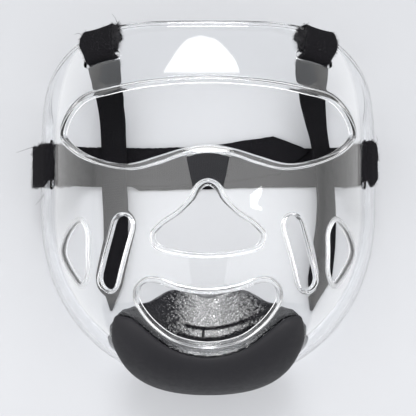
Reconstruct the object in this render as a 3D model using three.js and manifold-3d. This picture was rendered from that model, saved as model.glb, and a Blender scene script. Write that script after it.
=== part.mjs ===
// A clear face shield that straps over a sparring headguard, lying on its back rim with its
// front up. Millimetres: X runs across the face, +Y is up the forehead, +Z is out of the face.
//
// Every piece follows one dome, the outer face of the shell. The dome is worked out around the
// nose axis: an angle is turned from the forehead (0) over the side (90 degrees) to the chin
// (180 degrees), and a tilt is opened from the nose axis (0) down to the ground (90 degrees).

import Module from 'manifold-3d';
import * as THREE from 'three';
import { mergeVertices } from 'three/addons/utils/BufferGeometryUtils.js';

const wasm = await Module();
wasm.setup();

const degrees = Math.PI / 180;

// ---------------------------------------------------------------- driving dimensions

const noseAxisY = 1.38; // the nose axis, from the middle of the whole shield's length

const dome = {
  depth: 108, // ground to the tip of the nose
  halfWidth: 105.5,
  foreheadReach: 135, // where the dome would meet the ground past the forehead
  chinReach: 107,
  foreheadCorner: 3.6, // exponents of the footprint: 2 is round, more is squarer
  jawCorner: 2.16,
  sideFullness: 2.1, // exponents of the section: 2 is round, more is fuller
  foreheadFullness: 2.2,
  chinFullness: 3.4,
};

const rim = {
  foreheadHeight: 70, // the forehead edge is cut this far above the ground
  templeAngle: 61 * degrees, // and comes down to it here
  foreheadSpread: 3.2,
  foreheadRound: 0.8,
  chinHeight: 18,
  jawAngle: 135 * degrees, // the edge leaves the ground again here, under the chin
  chinSpread: 2,
  chinRound: 1.2,
};

const shell = {
  wall: 2.5,
  lipDepth: 5.5, // the turned-in lips of the openings, from the outer face
  lipWidth: 2.8,
  ventLipWidth: 2.2, // the lips of the cheek and side vents are slimmer
  flangeDepth: 6, // the turned-in flange along the whole rim
  flangeWidth: 2.4,
};

const strap = { thickness: 1.8, crownWidth: 19, backWidth: 25, tipLength: 21, tipWidth: 2 };
const gap = 0.55; // between pieces that touch on the real shield

// Right halves of the openings, as the start of each lip seen from the front: x across, y up
// from the nose axis.
const eyeOutline = [
  { x: 0, y: 74.3 },
  { x: 30, y: 72.6 },
  { x: 56, y: 68.7 },
  { x: 73, y: 64.4 },
  { x: 83.8, y: 53.5 },
  { x: 86.9, y: 41.5 },
  { x: 77, y: 31 },
  { x: 61.5, y: 24.5 },
  { x: 43, y: 22.1 },
  { x: 27.5, y: 25.5 },
  { x: 14, y: 30 },
  { x: 0, y: 31.5 },
];
const noseOutline = [
  { x: 0, y: 16 },
  { x: 5.8, y: 13.6 },
  { x: 9.6, y: 7.6 },
  { x: 15.6, y: 0.4 },
  { x: 27.6, y: -8 },
  { x: 32.4, y: -14.1 },
  { x: 29.7, y: -21.7 },
  { x: 16, y: -25.8 },
  { x: 0, y: -27.1 },
];
const mouthOutline = [
  { x: 0, y: -44 },
  { x: 16.5, y: -41.8 },
  { x: 28.6, y: -37.8 },
  { x: 35.5, y: -38.4 },
  { x: 41, y: -44 },
  { x: 41.8, y: -51 },
  { x: 37.5, y: -59.5 },
  { x: 29.8, y: -68 },
  { x: 19, y: -75.2 },
  { x: 0, y: -79 },
];
const sideVentOutline = [
  { x: 73, y: -6 },
  { x: 68.3, y: -12 },
  { x: 67.8, y: -25 },
  { x: 68.3, y: -38 },
  { x: 72.5, y: -45 },
  { x: 79, y: -38.5 },
  { x: 85.2, y: -26 },
  { x: 81, y: -13 },
];
// Straight slots with round ends: centres of the two ends on the right side, and half a width.
const cheekVent = { upper: { x: 47.9, y: -9.8 }, lower: { x: 56.4, y: -40 }, halfWidth: 8 };
const crownSlot = { upper: { x: 53, y: 86.9 }, lower: { x: 69, y: 83.3 }, halfWidth: 2.4 };
const backSlot = { upper: { x: 92.2, y: 37.6 }, lower: { x: 92.2, y: 13.2 }, halfWidth: 2.1 };

// The chin guard by the angle from the chin, in degrees: how far its upper edge lies from the
// nose axis, and the height of its lower edge above the ground.
const guardRows = [
  { turn: 0, upperReach: 82.8, lowerHeight: 18 },
  { turn: 10, upperReach: 81.6, lowerHeight: 22 },
  { turn: 16, upperReach: 79.8, lowerHeight: 38 },
  { turn: 21, upperReach: 77.8, lowerHeight: 51 },
  { turn: 26, upperReach: 75.8, lowerHeight: 63 },
  { turn: 31, upperReach: 74.2, lowerHeight: 73 },
  { turn: 36, upperReach: 73.6, lowerHeight: 80 },
  { turn: 40, upperReach: 75.5, lowerHeight: 87.5 },
];
const guard = {
  clearance: 0.7,
  thickness: 5.2,
  edgeThickness: 2,
  endTurn: 40,
  stations: 26,
  bands: 13,
};

// The free side of the chin pad under the chin, from its upper edge round to its lower one. At
// each angle from the chin, in degrees, its rows tell how much of that bulk is left and how high
// its lower edge lies.
const padFreeSide = [
  { reach: 79, height: 87 },
  { reach: 67, height: 77 },
  { reach: 57.5, height: 66 },
  { reach: 52.8, height: 58 },
  { reach: 52.6, height: 51 },
  { reach: 57, height: 41 },
  { reach: 68, height: 33 },
  { reach: 84, height: 27 },
];
const padRows = [
  { turn: 0, bulk: 1, lowerHeight: 22 },
  { turn: 10, bulk: 1.03, lowerHeight: 22 },
  { turn: 16, bulk: 1.03, lowerHeight: 23 },
  { turn: 21, bulk: 1, lowerHeight: 25 },
  { turn: 26, bulk: 0.9, lowerHeight: 30 },
  { turn: 31, bulk: 0.62, lowerHeight: 40 },
  { turn: 36, bulk: 0.4, lowerHeight: 58 },
  { turn: 40, bulk: 0.14, lowerHeight: 78 },
];
const pad = { topOutset: 0.8, endTurn: 39.5, stations: 28, frontSteps: 7 };

// ---------------------------------------------------------------- the dome

function footprintRadius(angle) {
  const side = Math.abs(Math.sin(angle));
  const along = Math.cos(angle);
  const reach = along > 0 ? dome.foreheadReach : dome.chinReach;
  const corner = along > 0 ? dome.foreheadCorner : dome.jawCorner;
  return ((side / dome.halfWidth) ** corner + (Math.abs(along) / reach) ** corner) ** (-1 / corner);
}

function fullness(angle) {
  const along = Math.cos(angle);
  const end = along > 0 ? dome.foreheadFullness : dome.chinFullness;
  return dome.sideFullness + (end - dome.sideFullness) * along ** 2;
}

function rimHeight(angle) {
  const turn = Math.abs(Math.atan2(Math.sin(angle), Math.cos(angle)));
  if (turn < rim.templeAngle) {
    const share = (turn / rim.templeAngle) ** rim.foreheadSpread;
    return rim.foreheadHeight * (1 - share) ** rim.foreheadRound;
  }
  if (turn > rim.jawAngle) {
    const share = ((Math.PI - turn) / (Math.PI - rim.jawAngle)) ** rim.chinSpread;
    return rim.chinHeight * (1 - share) ** rim.chinRound;
  }
  return 0;
}

// How far a point is out of the dome: 1 on its outer face.
function outness(x, y, z) {
  const angle = Math.atan2(x, y);
  const power = fullness(angle);
  const across = (Math.hypot(x, y) / footprintRadius(angle)) ** power;
  return across + (Math.abs(z) / dome.depth) ** power;
}

function outward(point) {
  const step = 0.01;
  const { x, y, z } = point;
  return new THREE.Vector3(
    outness(x + step, y, z) - outness(x - step, y, z),
    outness(x, y + step, z) - outness(x, y - step, z),
    outness(x, y, z + step) - outness(x, y, z - step),
  ).normalize();
}

function onDome(angle, tilt) {
  const power = fullness(angle);
  const size = (Math.sin(tilt) ** power + Math.abs(Math.cos(tilt)) ** power) ** (-1 / power);
  const reach = footprintRadius(angle) * size * Math.sin(tilt);
  const height = dome.depth * size * Math.cos(tilt);
  return new THREE.Vector3(reach * Math.sin(angle), reach * Math.cos(angle), height);
}

function tiltAtReach(angle, reach) {
  const power = fullness(angle);
  const share = reach / footprintRadius(angle);
  return Math.atan2(share, (1 - share ** power) ** (1 / power));
}

function tiltAtHeight(angle, height) {
  const power = fullness(angle);
  const share = height / dome.depth;
  return Math.atan2((1 - share ** power) ** (1 / power), share);
}

const rimTilt = (angle) => tiltAtHeight(angle, rimHeight(angle));

// A point under the outer face, or over it where the depth is negative.
function underDome(angle, tilt, depth) {
  const point = onDome(angle, tilt);
  return point.addScaledVector(outward(point), -depth);
}

// ---------------------------------------------------------------- the flat pattern

// The shell is cut as a flat pattern and then bent onto the dome. On the pattern the distance
// from the nose axis is the tilt, and the height is the depth, with a very slight crown so that
// its small faces stay apart while it is cut.
const patternScale = 110;
const patternCrown = 1e-5;

function crown(u, v) {
  return patternCrown * (u * u + v * v);
}

function patternPoint(angle, tilt, depth) {
  const u = patternScale * tilt * Math.sin(angle);
  const v = patternScale * tilt * Math.cos(angle);
  return [u, v, -depth - crown(u, v)];
}

function flatten({ x, y }) {
  const angle = Math.atan2(x, y);
  const [u, v] = patternPoint(angle, tiltAtReach(angle, Math.hypot(x, y)), 0);
  return new THREE.Vector2(u, v);
}

function bend(geometry) {
  const position = geometry.getAttribute('position');
  for (let index = 0; index < position.count; index += 1) {
    const u = position.getX(index);
    const v = position.getY(index);
    const depth = -position.getZ(index) - crown(u, v);
    const point = underDome(Math.atan2(u, v), Math.hypot(u, v) / patternScale, depth);
    position.setXYZ(index, point.x, point.y, point.z);
  }
  return geometry;
}

const mirrored = ({ x, y }) => ({ x: -x, y });

function wholeOutline(rightHalf) {
  const leftHalf = rightHalf.slice(1, -1).map(mirrored).reverse();
  return [...rightHalf, ...leftHalf];
}

function smoothLoop(outline, count) {
  const points = outline.map(({ x, y }) => new THREE.Vector3(x, y, 0));
  const curve = new THREE.CatmullRomCurve3(points, true, 'centripetal');
  return leftHanded(curve.getSpacedPoints(count).slice(0, -1).map(flatten));
}

function slotLoop(slot, arcSteps) {
  const upper = flatten(slot.upper);
  const lower = flatten(slot.lower);
  const heading = Math.atan2(upper.y - lower.y, upper.x - lower.x);
  const loop = [];
  for (const [centre, start] of [[upper, heading - Math.PI / 2], [lower, heading + Math.PI / 2]]) {
    for (let step = 0; step <= arcSteps; step += 1) {
      const turn = start + (Math.PI * step) / arcSteps;
      const offset = new THREE.Vector2(Math.cos(turn), Math.sin(turn));
      loop.push(centre.clone().addScaledVector(offset, slot.halfWidth));
    }
  }
  return leftHanded(loop);
}

function mirroredSlot({ upper, lower, halfWidth }) {
  return { upper: mirrored(upper), lower: mirrored(lower), halfWidth };
}

// Loops run anticlockwise, so that an inset always goes to their left.
function leftHanded(loop) {
  return THREE.ShapeUtils.area(loop) > 0 ? loop : loop.reverse();
}

function inset(loop, distance) {
  return loop.map((point, index) => {
    const before = loop[(index + loop.length - 1) % loop.length];
    const after = loop[(index + 1) % loop.length];
    const along = after.clone().sub(before).normalize();
    return new THREE.Vector2(point.x - along.y * distance, point.y + along.x * distance);
  });
}

function prism(loop, top, bottom) {
  const shape = new THREE.Shape(loop);
  const options = { depth: top - bottom, bevelEnabled: false, steps: 1 };
  return new THREE.ExtrudeGeometry(shape, options).translate(0, 0, bottom);
}

// ---------------------------------------------------------------- meshes and solids

// Rows of points of one length are joined into a skin. Closed rows meet at their ends.
function skin(rows, faces, closedRows) {
  const width = rows[0].length;
  const last = closedRows ? width : width - 1;
  for (let row = 0; row + 1 < rows.length; row += 1) {
    for (let column = 0; column < last; column += 1) {
      const next = (column + 1) % width;
      const [a, b, c, d] = [rows[row][column], rows[row][next], rows[row + 1][next], rows[row + 1][column]];
      faces.push([a, b, c], [a, c, d]);
    }
  }
}

function fan(row, faces, flipped) {
  for (let column = 1; column + 1 < row.length; column += 1) {
    const face = [row[0], row[column], row[column + 1]];
    faces.push(flipped ? face.reverse() : face);
  }
}

function geometryOf(faces) {
  const corners = faces.flat().flatMap((point) => [point.x, point.y, point.z]);
  const geometry = new THREE.BufferGeometry();
  geometry.setAttribute('position', new THREE.Float32BufferAttribute(corners, 3));
  return mergeVertices(geometry, 1e-4);
}

// A solid whose rows are closed sections of one kind, capped at both ends.
function loftedGeometry(sections) {
  const faces = [];
  skin(sections, faces, true);
  fan(sections[0], faces, true);
  fan(sections.at(-1), faces, false);
  return geometryOf(faces);
}

function solidOf(geometry) {
  geometry.deleteAttribute('normal');
  geometry.deleteAttribute('uv');
  const merged = mergeVertices(geometry, 1e-4);
  const vertProperties = new Float32Array(merged.getAttribute('position').array);
  const triVerts = new Uint32Array(merged.getIndex().array);
  return new wasm.Manifold(new wasm.Mesh({ numProp: 3, vertProperties, triVerts }));
}

function geometryFromSolid(solid) {
  const { vertProperties, triVerts } = solid.getMesh();
  const geometry = new THREE.BufferGeometry();
  geometry.setAttribute('position', new THREE.Float32BufferAttribute(vertProperties, 3));
  geometry.setIndex(new THREE.Uint32BufferAttribute(triVerts, 1));
  return geometry;
}

// Reads a table row by its turn, with a smooth run from row to row.
function readRows(rows, turn, column) {
  const place = THREE.MathUtils.clamp(Math.abs(turn), 0, rows.at(-1).turn);
  const index = Math.max(1, rows.findIndex((row) => row.turn >= place));
  const [from, to] = [rows[index - 1], rows[index]];
  const slope = (low, high) => (high[column] - low[column]) / (high.turn - low.turn);
  const here = slope(from, to);
  const slopeIn = index > 1 ? (slope(rows[index - 2], from) + here) / 2 : 0;
  const slopeOut = index + 1 < rows.length ? (here + slope(to, rows[index + 1])) / 2 : here;
  const span = to.turn - from.turn;
  const t = (place - from.turn) / span;
  return from[column] * (1 + 2 * t) * (1 - t) ** 2 + to[column] * t * t * (3 - 2 * t)
    + span * t * (1 - t) * (slopeIn * (1 - t) - slopeOut * t);
}

// ---------------------------------------------------------------- shield shell

// The pattern before its openings are cut: a domed sheet whose last ring turns down as a flange.
function blankPattern() {
  const spokes = 66;
  const rings = 15;
  const outline = [];
  for (let ring = 0; ring <= rings; ring += 1) outline.push({ share: ring / rings, depth: 0 });
  outline.push({ share: 1, depth: shell.flangeDepth }, { inset: true, depth: shell.flangeDepth });
  outline.push({ inset: true, depth: shell.wall });
  for (let ring = rings - 1; ring >= 0; ring -= 1) outline.push({ share: ring / rings, depth: shell.wall });
  const rows = outline.map(({ share, inset: atFlange, depth }) => {
    const row = [];
    for (let spoke = 0; spoke < spokes; spoke += 1) {
      const angle = (2 * Math.PI * spoke) / spokes;
      const edge = rimTilt(angle);
      const tilt = atFlange ? edge - shell.flangeWidth / patternScale : edge * share;
      row.push(new THREE.Vector3(...patternPoint(angle, tilt, depth)));
    }
    return row;
  });
  const faces = [];
  skin(rows, faces, true);
  return geometryOf(faces.filter(([a, b, c]) => !a.equals(b) && !b.equals(c) && !c.equals(a)));
}

function shellGeometry() {
  const openings = [
    smoothLoop(wholeOutline(eyeOutline), 60),
    smoothLoop(wholeOutline(noseOutline), 40),
    smoothLoop(wholeOutline(mouthOutline), 42),
  ];
  const vents = [
    smoothLoop(sideVentOutline, 22),
    smoothLoop(sideVentOutline.map(mirrored), 22),
    slotLoop(cheekVent, 7),
    slotLoop(mirroredSlot(cheekVent), 7),
  ];
  const lipped = [
    ...openings.map((loop) => ({ loop, lipWidth: shell.lipWidth })),
    ...vents.map((loop) => ({ loop, lipWidth: shell.ventLipWidth })),
  ];
  const plain = [crownSlot, backSlot].flatMap((slot) => [slotLoop(slot, 4), slotLoop(mirroredSlot(slot), 4)]);
  const clear = 2 * shell.lipDepth;
  let pattern = solidOf(blankPattern());
  for (const { loop, lipWidth } of lipped) {
    pattern = pattern.add(solidOf(prism(loop, -shell.wall / 2, -shell.lipDepth)));
    pattern = pattern.subtract(solidOf(prism(inset(loop, lipWidth), clear, -clear)));
  }
  for (const loop of plain) pattern = pattern.subtract(solidOf(prism(loop, clear, -clear)));
  return bend(geometryFromSolid(pattern));
}

// ---------------------------------------------------------------- chin guard and chin pad

// A padded cup outside the shell's chin, thin along its edges.
function guardGeometry() {
  const sections = [];
  for (let station = 0; station <= guard.stations; station += 1) {
    const turn = guard.endTurn * (-1 + (2 * station) / guard.stations);
    const angle = Math.PI - turn * degrees;
    const upper = tiltAtReach(angle, readRows(guardRows, turn, 'upperReach'));
    const lower = tiltAtHeight(angle, readRows(guardRows, turn, 'lowerHeight'));
    const outside = [];
    const inside = [];
    for (let band = 0; band <= guard.bands; band += 1) {
      const share = band / guard.bands;
      const tilt = THREE.MathUtils.lerp(upper, lower, share);
      const taper = Math.sqrt(Math.max(0, 1 - Math.abs(2 * share - 1) ** 3));
      const ends = Math.min(1, (guard.endTurn - Math.abs(turn)) / 6 + 0.15);
      const bulge = (guard.thickness - guard.edgeThickness) * taper * Math.sqrt(ends);
      outside.push(underDome(angle, tilt, -guard.clearance - guard.edgeThickness - bulge));
      inside.push(underDome(angle, tilt, -guard.clearance));
    }
    sections.push([...outside, ...inside.reverse()]);
  }
  return loftedGeometry(sections);
}

// A leather-covered foam rest behind the shell's chin. Its front lies against the shell, and a
// shelf runs back from the mouth opening to the wearer's chin.
function padGeometry() {
  const frontDepth = shell.wall + 2 * gap;
  const frontPoint = (turn, share) => {
    const angle = Math.PI - turn * degrees;
    const upper = tiltAtReach(angle, readRows(guardRows, turn, 'upperReach') - pad.topOutset);
    const lower = tiltAtHeight(angle, readRows(padRows, turn, 'lowerHeight'));
    const point = underDome(angle, THREE.MathUtils.lerp(upper, lower, share), frontDepth);
    return { reach: Math.hypot(point.x, point.y), height: point.z };
  };
  const sections = [];
  for (let station = 0; station <= pad.stations; station += 1) {
    const turn = pad.endTurn * (-1 + (2 * station) / pad.stations);
    const angle = Math.PI - turn * degrees;
    const bulk = readRows(padRows, turn, 'bulk');
    const section = [];
    padFreeSide.forEach(({ reach, height }, index) => {
      const share = (index + 0.5) / padFreeSide.length;
      const middle = frontPoint(0, share);
      const front = frontPoint(turn, share);
      section.push({
        reach: front.reach + bulk * (reach - middle.reach),
        height: front.height + bulk * (height - middle.height),
      });
    });
    for (let step = pad.frontSteps; step >= 0; step -= 1) {
      section.push(frontPoint(turn, step / pad.frontSteps));
    }
    const place = ({ reach, height }) => {
      return new THREE.Vector3(reach * Math.sin(angle), reach * Math.cos(angle), height);
    };
    sections.push(section.map(place).reverse());
  }
  return loftedGeometry(sections);
}

// ---------------------------------------------------------------- straps

// Where a strap bends round the rim: the share of the way from its slot to the rim, the depth
// under the dome, and how far it has slid sideways, away from the middle of the face. The rows go
// from the inner end of the loop, over the rim, to the inside of the slot.
const crownLoop = [
  { share: 0.3, depth: 5.4, slide: 1 },
  { share: 0.6, depth: 6.4, slide: 1.6 },
  { share: 0.86, depth: 9.9, slide: 2.2 },
  { share: 1.02, depth: 10.4, slide: 2.6 },
  { share: 1.12, depth: 5.6, slide: 2.8 },
  { share: 1.09, depth: 0.5, slide: 2.8 },
  { share: 0.95, depth: -2.2, slide: 2.6 },
  { share: 0.6, depth: -2.4, slide: 1.9 },
  { share: 0.24, depth: -2.2, slide: 0.8 },
  { share: 0.08, depth: -1.6, slide: 0.2 },
  { share: 0, depth: 0.6, slide: 0 },
  { share: 0.01, depth: 4, slide: 0 },
];
const backLoop = [
  { share: 0.42, depth: -5, slide: 0 },
  { share: 0.28, depth: -4.5, slide: 0 },
  { share: 0.12, depth: -3.6, slide: 0 },
  { share: 0.03, depth: -2.9, slide: 0 },
  { share: 0.002, depth: -1, slide: 0 },
  { share: -0.004, depth: 1.5, slide: 0 },
  { share: -0.006, depth: 4.2, slide: 0 },
];

// The free stretches inside the shell, from the slot to the tip. Lean is how far the strap is
// turned up on its inner edge, in degrees, and aim is where its width points across the ground.
const crownLeftRun = [
  { x: -59.6, y: 80, z: 66, lean: 30, aim: 4 },
  { x: -60.2, y: 74.5, z: 50, lean: 36, aim: 2 },
  { x: -60, y: 66, z: 32, lean: 35, aim: 0 },
  { x: -59.4, y: 54, z: 20, lean: 32, aim: -2 },
  { x: -59.2, y: 38, z: 14, lean: 31, aim: -4 },
  { x: -59.2, y: 20, z: 11.6, lean: 29, aim: -4 },
  { x: -58.6, y: 0, z: 7.4, lean: 28, aim: -2 },
  { x: -58.6, y: -25, z: 5, lean: 20, aim: 2 },
  { x: -60, y: -48, z: 3.2, lean: 10, aim: 5 },
  { x: -62.4, y: -66, z: 1.6, lean: 3, aim: 7 },
];
const crownRightRun = [
  { x: 59.6, y: 80.3, z: 66.3, lean: -28, aim: -5 },
  { x: 62, y: 74.5, z: 50, lean: -46, aim: -4 },
  { x: 64.6, y: 64, z: 32, lean: -50, aim: -6 },
  { x: 68, y: 50, z: 20.5, lean: -51, aim: -9 },
  { x: 71.6, y: 30, z: 16, lean: -50, aim: -10 },
  { x: 74, y: 10, z: 13.1, lean: -50, aim: -6 },
  { x: 74.4, y: -12, z: 9.2, lean: -44, aim: 3 },
  { x: 72, y: -34, z: 6, lean: -28, aim: 12 },
  { x: 69.4, y: -50, z: 4, lean: -16, aim: 12 },
  { x: 66.6, y: -66, z: 2, lean: -4, aim: 10 },
];
const backLeftRun = [
  { x: -86.2, y: 25.6, z: 44, lean: 0, aim: 90 },
  { x: -84, y: 25.8, z: 27, lean: 0, aim: 90 },
  { x: -81.4, y: 26, z: 13, lean: 0, aim: 90 },
  { x: -74.5, y: 26, z: 4.5, lean: 0, aim: 90 },
  { x: -64, y: 26, z: 3.7, lean: 0, aim: 90 },
  { x: -20, y: 26, z: 3.45, lean: 0, aim: 91 },
  { x: 8, y: 28, z: 3.45, lean: 0, aim: 97 },
  { x: 36, y: 32.3, z: 3.45, lean: 0, aim: 98 },
  { x: 64, y: 36.4, z: 3.45, lean: 0, aim: 98 },
];
const backRightRun = [
  { x: 86.2, y: 25.4, z: 44, lean: 0, aim: 90 },
  { x: 84.8, y: 25.4, z: 27, lean: 0, aim: 90 },
  { x: 83.8, y: 25.6, z: 9, lean: 0, aim: 90 },
  { x: 79, y: 25.7, z: 3.1, lean: 0, aim: 90 },
  { x: 71, y: 25.7, z: 1.6, lean: 0, aim: 90 },
  { x: 56, y: 25.6, z: 1.25, lean: 0, aim: 91 },
  { x: 10, y: 24.9, z: 1.2, lean: 0, aim: 92 },
  { x: -30, y: 23.8, z: 1.2, lean: 0, aim: 92 },
  { x: -65, y: 22.6, z: 1.2, lean: 0, aim: 92 },
];

function slotMiddle(slot) {
  return flatten({ x: (slot.upper.x + slot.lower.x) / 2, y: (slot.upper.y + slot.lower.y) / 2 });
}

function slotWidthDirection(slot) {
  const upper = flatten(slot.upper);
  const lower = flatten(slot.lower);
  const place = ({ x, y }) => onDome(Math.atan2(x, y), Math.hypot(x, y) / patternScale);
  return place(upper).sub(place(lower)).normalize();
}

// The way on the pattern that leaves a slot square to its width, towards the rim.
function awayFromSlot(middle, width) {
  const place = (u, v) => underDome(Math.atan2(u, v), Math.hypot(u, v) / patternScale, 0);
  const here = place(middle.x, middle.y);
  const slopeU = place(middle.x + 1, middle.y).sub(here).dot(width);
  const slopeV = place(middle.x, middle.y + 1).sub(here).dot(width);
  const away = new THREE.Vector2(slopeV, -slopeU).normalize();
  return away.dot(middle) < 0 ? away.negate() : away;
}

// Points and width directions of the stretch that runs on the shell, square to its slot.
function loopStations(slot, rows) {
  const middle = slotMiddle(slot);
  const width = slotWidthDirection(slot);
  const away = awayFromSlot(middle, width);
  let toRim = 0;
  for (let reached = false; !reached; toRim += 0.5) {
    const next = middle.clone().addScaledVector(away, toRim + 0.5);
    reached = next.length() / patternScale > rimTilt(Math.atan2(next.x, next.y));
  }
  return rows.map(({ share, depth, slide }) => {
    const flat = middle.clone().addScaledVector(away, share * toRim);
    const point = underDome(Math.atan2(flat.x, flat.y), flat.length() / patternScale, depth);
    return { point: point.addScaledVector(width, -slide), width: width.clone() };
  });
}

function runStations(rows) {
  return rows.map(({ x, y, z, lean, aim }) => {
    const rise = Math.sin(lean * degrees);
    const level = Math.cos(lean * degrees);
    const width = new THREE.Vector3(level * Math.cos(aim * degrees), level * Math.sin(aim * degrees), rise);
    return { point: new THREE.Vector3(x, y, z), width };
  });
}

// A flat strap along stations of points and width directions, cut to a point at its far end.
function strapGeometry(stations, fullWidth, steps) {
  const curve = new THREE.CatmullRomCurve3(stations.map(({ point }) => point), false, 'centripetal');
  const widths = new THREE.CatmullRomCurve3(stations.map(({ width }) => width), false, 'centripetal');
  curve.arcLengthDivisions = 400;
  const length = curve.getLength();
  const sections = [];
  for (let step = 0; step <= steps; step += 1) {
    const parameter = curve.getUtoTmapping(step / steps);
    const point = curve.getPoint(parameter);
    const along = curve.getTangent(parameter);
    const across = widths.getPoint(parameter);
    across.addScaledVector(along, -across.dot(along)).normalize();
    const up = new THREE.Vector3().crossVectors(across, along).normalize();
    const left = length * (1 - step / steps);
    const share = Math.min(1, left / strap.tipLength);
    const half = THREE.MathUtils.lerp(strap.tipWidth, fullWidth, share) / 2;
    const corner = (side, rise) => point.clone()
      .addScaledVector(across, side * half)
      .addScaledVector(up, (rise * strap.thickness) / 2);
    sections.push([corner(-1, -1), corner(-1, 1), corner(1, 1), corner(1, -1)]);
  }
  return loftedGeometry(sections);
}

// ---------------------------------------------------------------- the whole shield

function add(group, name, geometry, material) {
  const mesh = new THREE.Mesh(geometry, new THREE.MeshStandardMaterial(material));
  mesh.name = name;
  group.add(mesh);
}

const clearPlastic = { color: 0xe9edf0, roughness: 0.05, metalness: 0, transparent: true, opacity: 0.3 };
const softTouch = { color: 0x3c3b40, roughness: 0.62, metalness: 0 };
const leather = { color: 0x1b1b1e, roughness: 0.32, metalness: 0 };
const webbing = { color: 0x1d1c20, roughness: 0.95, metalness: 0 };

const faceShield = new THREE.Group();
faceShield.position.y = noseAxisY;

add(faceShield, 'shield_shell', shellGeometry(), clearPlastic);
add(faceShield, 'chin_guard', guardGeometry(), softTouch);
add(faceShield, 'chin_pad', padGeometry(), leather);

const straps = [
  { name: 'crown_strap_left', slot: mirroredSlot(crownSlot), loop: crownLoop, run: crownLeftRun },
  { name: 'crown_strap_right', slot: crownSlot, loop: crownLoop, run: crownRightRun },
  { name: 'back_strap_left', slot: mirroredSlot(backSlot), loop: backLoop, run: backLeftRun },
  { name: 'back_strap_right', slot: backSlot, loop: backLoop, run: backRightRun },
];
for (const { name, slot, loop, run } of straps) {
  const width = loop === crownLoop ? strap.crownWidth : strap.backWidth;
  const free = runStations(run);
  const fixed = loopStations(slot, loop);
  if (fixed.at(-1).width.dot(free[0].width) < 0) fixed.forEach((station) => station.width.negate());
  add(faceShield, name, strapGeometry([...fixed, ...free], width, 56), webbing);
}

export default faceShield;
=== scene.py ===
# %% [markdown]
# # A clear face shield for a sparring headguard
# The shield is one clear moulded dome with openings for the eyes, nose, mouth and cheeks. A soft
# cup covers the outside of the chin, a leather-covered pad fills its inside, and four straps
# hang from slots near the rim. It lies on its back rim, so its front looks straight up.
#
# Everything follows one dome, so the dome is written down first as a rule, and every piece is
# placed by an angle round the nose and a tilt away from it.

# %% The frame
import math

import bmesh
import bpy
import numpy as np
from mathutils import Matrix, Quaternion, Vector
from mathutils.geometry import delaunay_2d_cdt


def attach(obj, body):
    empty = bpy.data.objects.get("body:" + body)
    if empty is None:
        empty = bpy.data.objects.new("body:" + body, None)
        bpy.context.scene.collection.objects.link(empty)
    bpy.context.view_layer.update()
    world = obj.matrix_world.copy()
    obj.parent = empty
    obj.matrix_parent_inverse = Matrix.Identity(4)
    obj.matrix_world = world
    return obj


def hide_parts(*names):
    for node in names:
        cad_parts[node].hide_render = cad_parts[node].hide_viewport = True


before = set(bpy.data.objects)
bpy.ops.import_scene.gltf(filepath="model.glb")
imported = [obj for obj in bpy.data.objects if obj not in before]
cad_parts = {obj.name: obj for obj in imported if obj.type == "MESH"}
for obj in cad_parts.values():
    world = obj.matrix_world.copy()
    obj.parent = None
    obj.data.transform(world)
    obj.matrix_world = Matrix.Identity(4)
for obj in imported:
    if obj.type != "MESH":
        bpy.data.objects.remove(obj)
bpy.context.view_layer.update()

# %% [markdown]
# ## Camera, floor and light
# The shield is looked at from straight above. The camera hangs 0.7 m over the tip of the nose
# with a narrow lens, so that the openings near the top of the dome look only a little larger
# than the rim on the floor.

# %% Camera
NOSE_Y = 0.00138  # the nose axis is this far in front of the middle of the footprint

camera_data = bpy.data.cameras.new("camera")
camera_data.lens = 94.65
camera_data.sensor_width = 36
camera_data.clip_start = 0.02
camera = bpy.data.objects.new("camera", camera_data)
camera.location = (0, NOSE_Y, 0.7)
bpy.context.scene.collection.objects.link(camera)
bpy.context.scene.camera = camera
# Pale paper and black tape are both measured straight, without a film curve over them.
bpy.context.scene.view_settings.view_transform = "Standard"
print("camera", 0.7, "m above the floor")

# %% [markdown]
# Polished plastic is made visible by what it mirrors, so the lamps are placed by the part of the
# dome that should show them. Two large glowing cards lean in from the left and the right,
# brighter towards the top, and turn the flanks milky. The dark gap between them, straight
# overhead, keeps the middle clear. A smaller and hotter card beyond the forehead makes the bright
# patch on the brow band, and a slim lamp makes the spark beside the nose. Each light is given by
# its brightness, so that its size can change without changing what the plastic shows.

# %% Lights
def softbox(name, place, target, size, brightness, spin=0.0):
    lamp = bpy.data.lights.new(name, "AREA")
    lamp.shape = "RECTANGLE"
    lamp.size, lamp.size_y = size
    lamp.energy = brightness * math.pi * size[0] * size[1]
    obj = bpy.data.objects.new(name, lamp)
    obj.location = place
    aim = (Vector(target) - Vector(place)).to_track_quat("-Z", "Y")
    obj.rotation_euler = (aim @ Quaternion((0, 0, 1), math.radians(spin))).to_euler()
    bpy.context.scene.collection.objects.link(obj)


def card(name, corners, low, high, heights=(0.0, 1.0)):
    """A glowing sheet that grows from one brightness to another with height."""
    mesh = bpy.data.meshes.new(name)
    mesh.from_pydata(corners, [], [list(range(len(corners)))])
    obj = bpy.data.objects.new(name, mesh)
    bpy.context.scene.collection.objects.link(obj)
    obj.visible_camera = obj.visible_shadow = False
    material = bpy.data.materials.new(name)
    material.use_nodes = True
    tree = material.node_tree
    tree.nodes.remove(tree.nodes["Principled BSDF"])
    place = tree.nodes.new("ShaderNodeSeparateXYZ")
    tree.links.new(tree.nodes.new("ShaderNodeTexCoord").outputs["Object"], place.inputs[0])
    strength = tree.nodes.new("ShaderNodeMapRange")
    for label, value in zip(("From Min", "From Max", "To Min", "To Max"), (*heights, low, high)):
        strength.inputs[label].default_value = value
    tree.links.new(place.outputs["Z"], strength.inputs["Value"])
    glow = tree.nodes.new("ShaderNodeEmission")
    tree.links.new(strength.outputs["Result"], glow.inputs["Strength"])
    tree.links.new(glow.outputs[0], tree.nodes["Material Output"].inputs["Surface"])
    mesh.materials.append(material)


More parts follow.
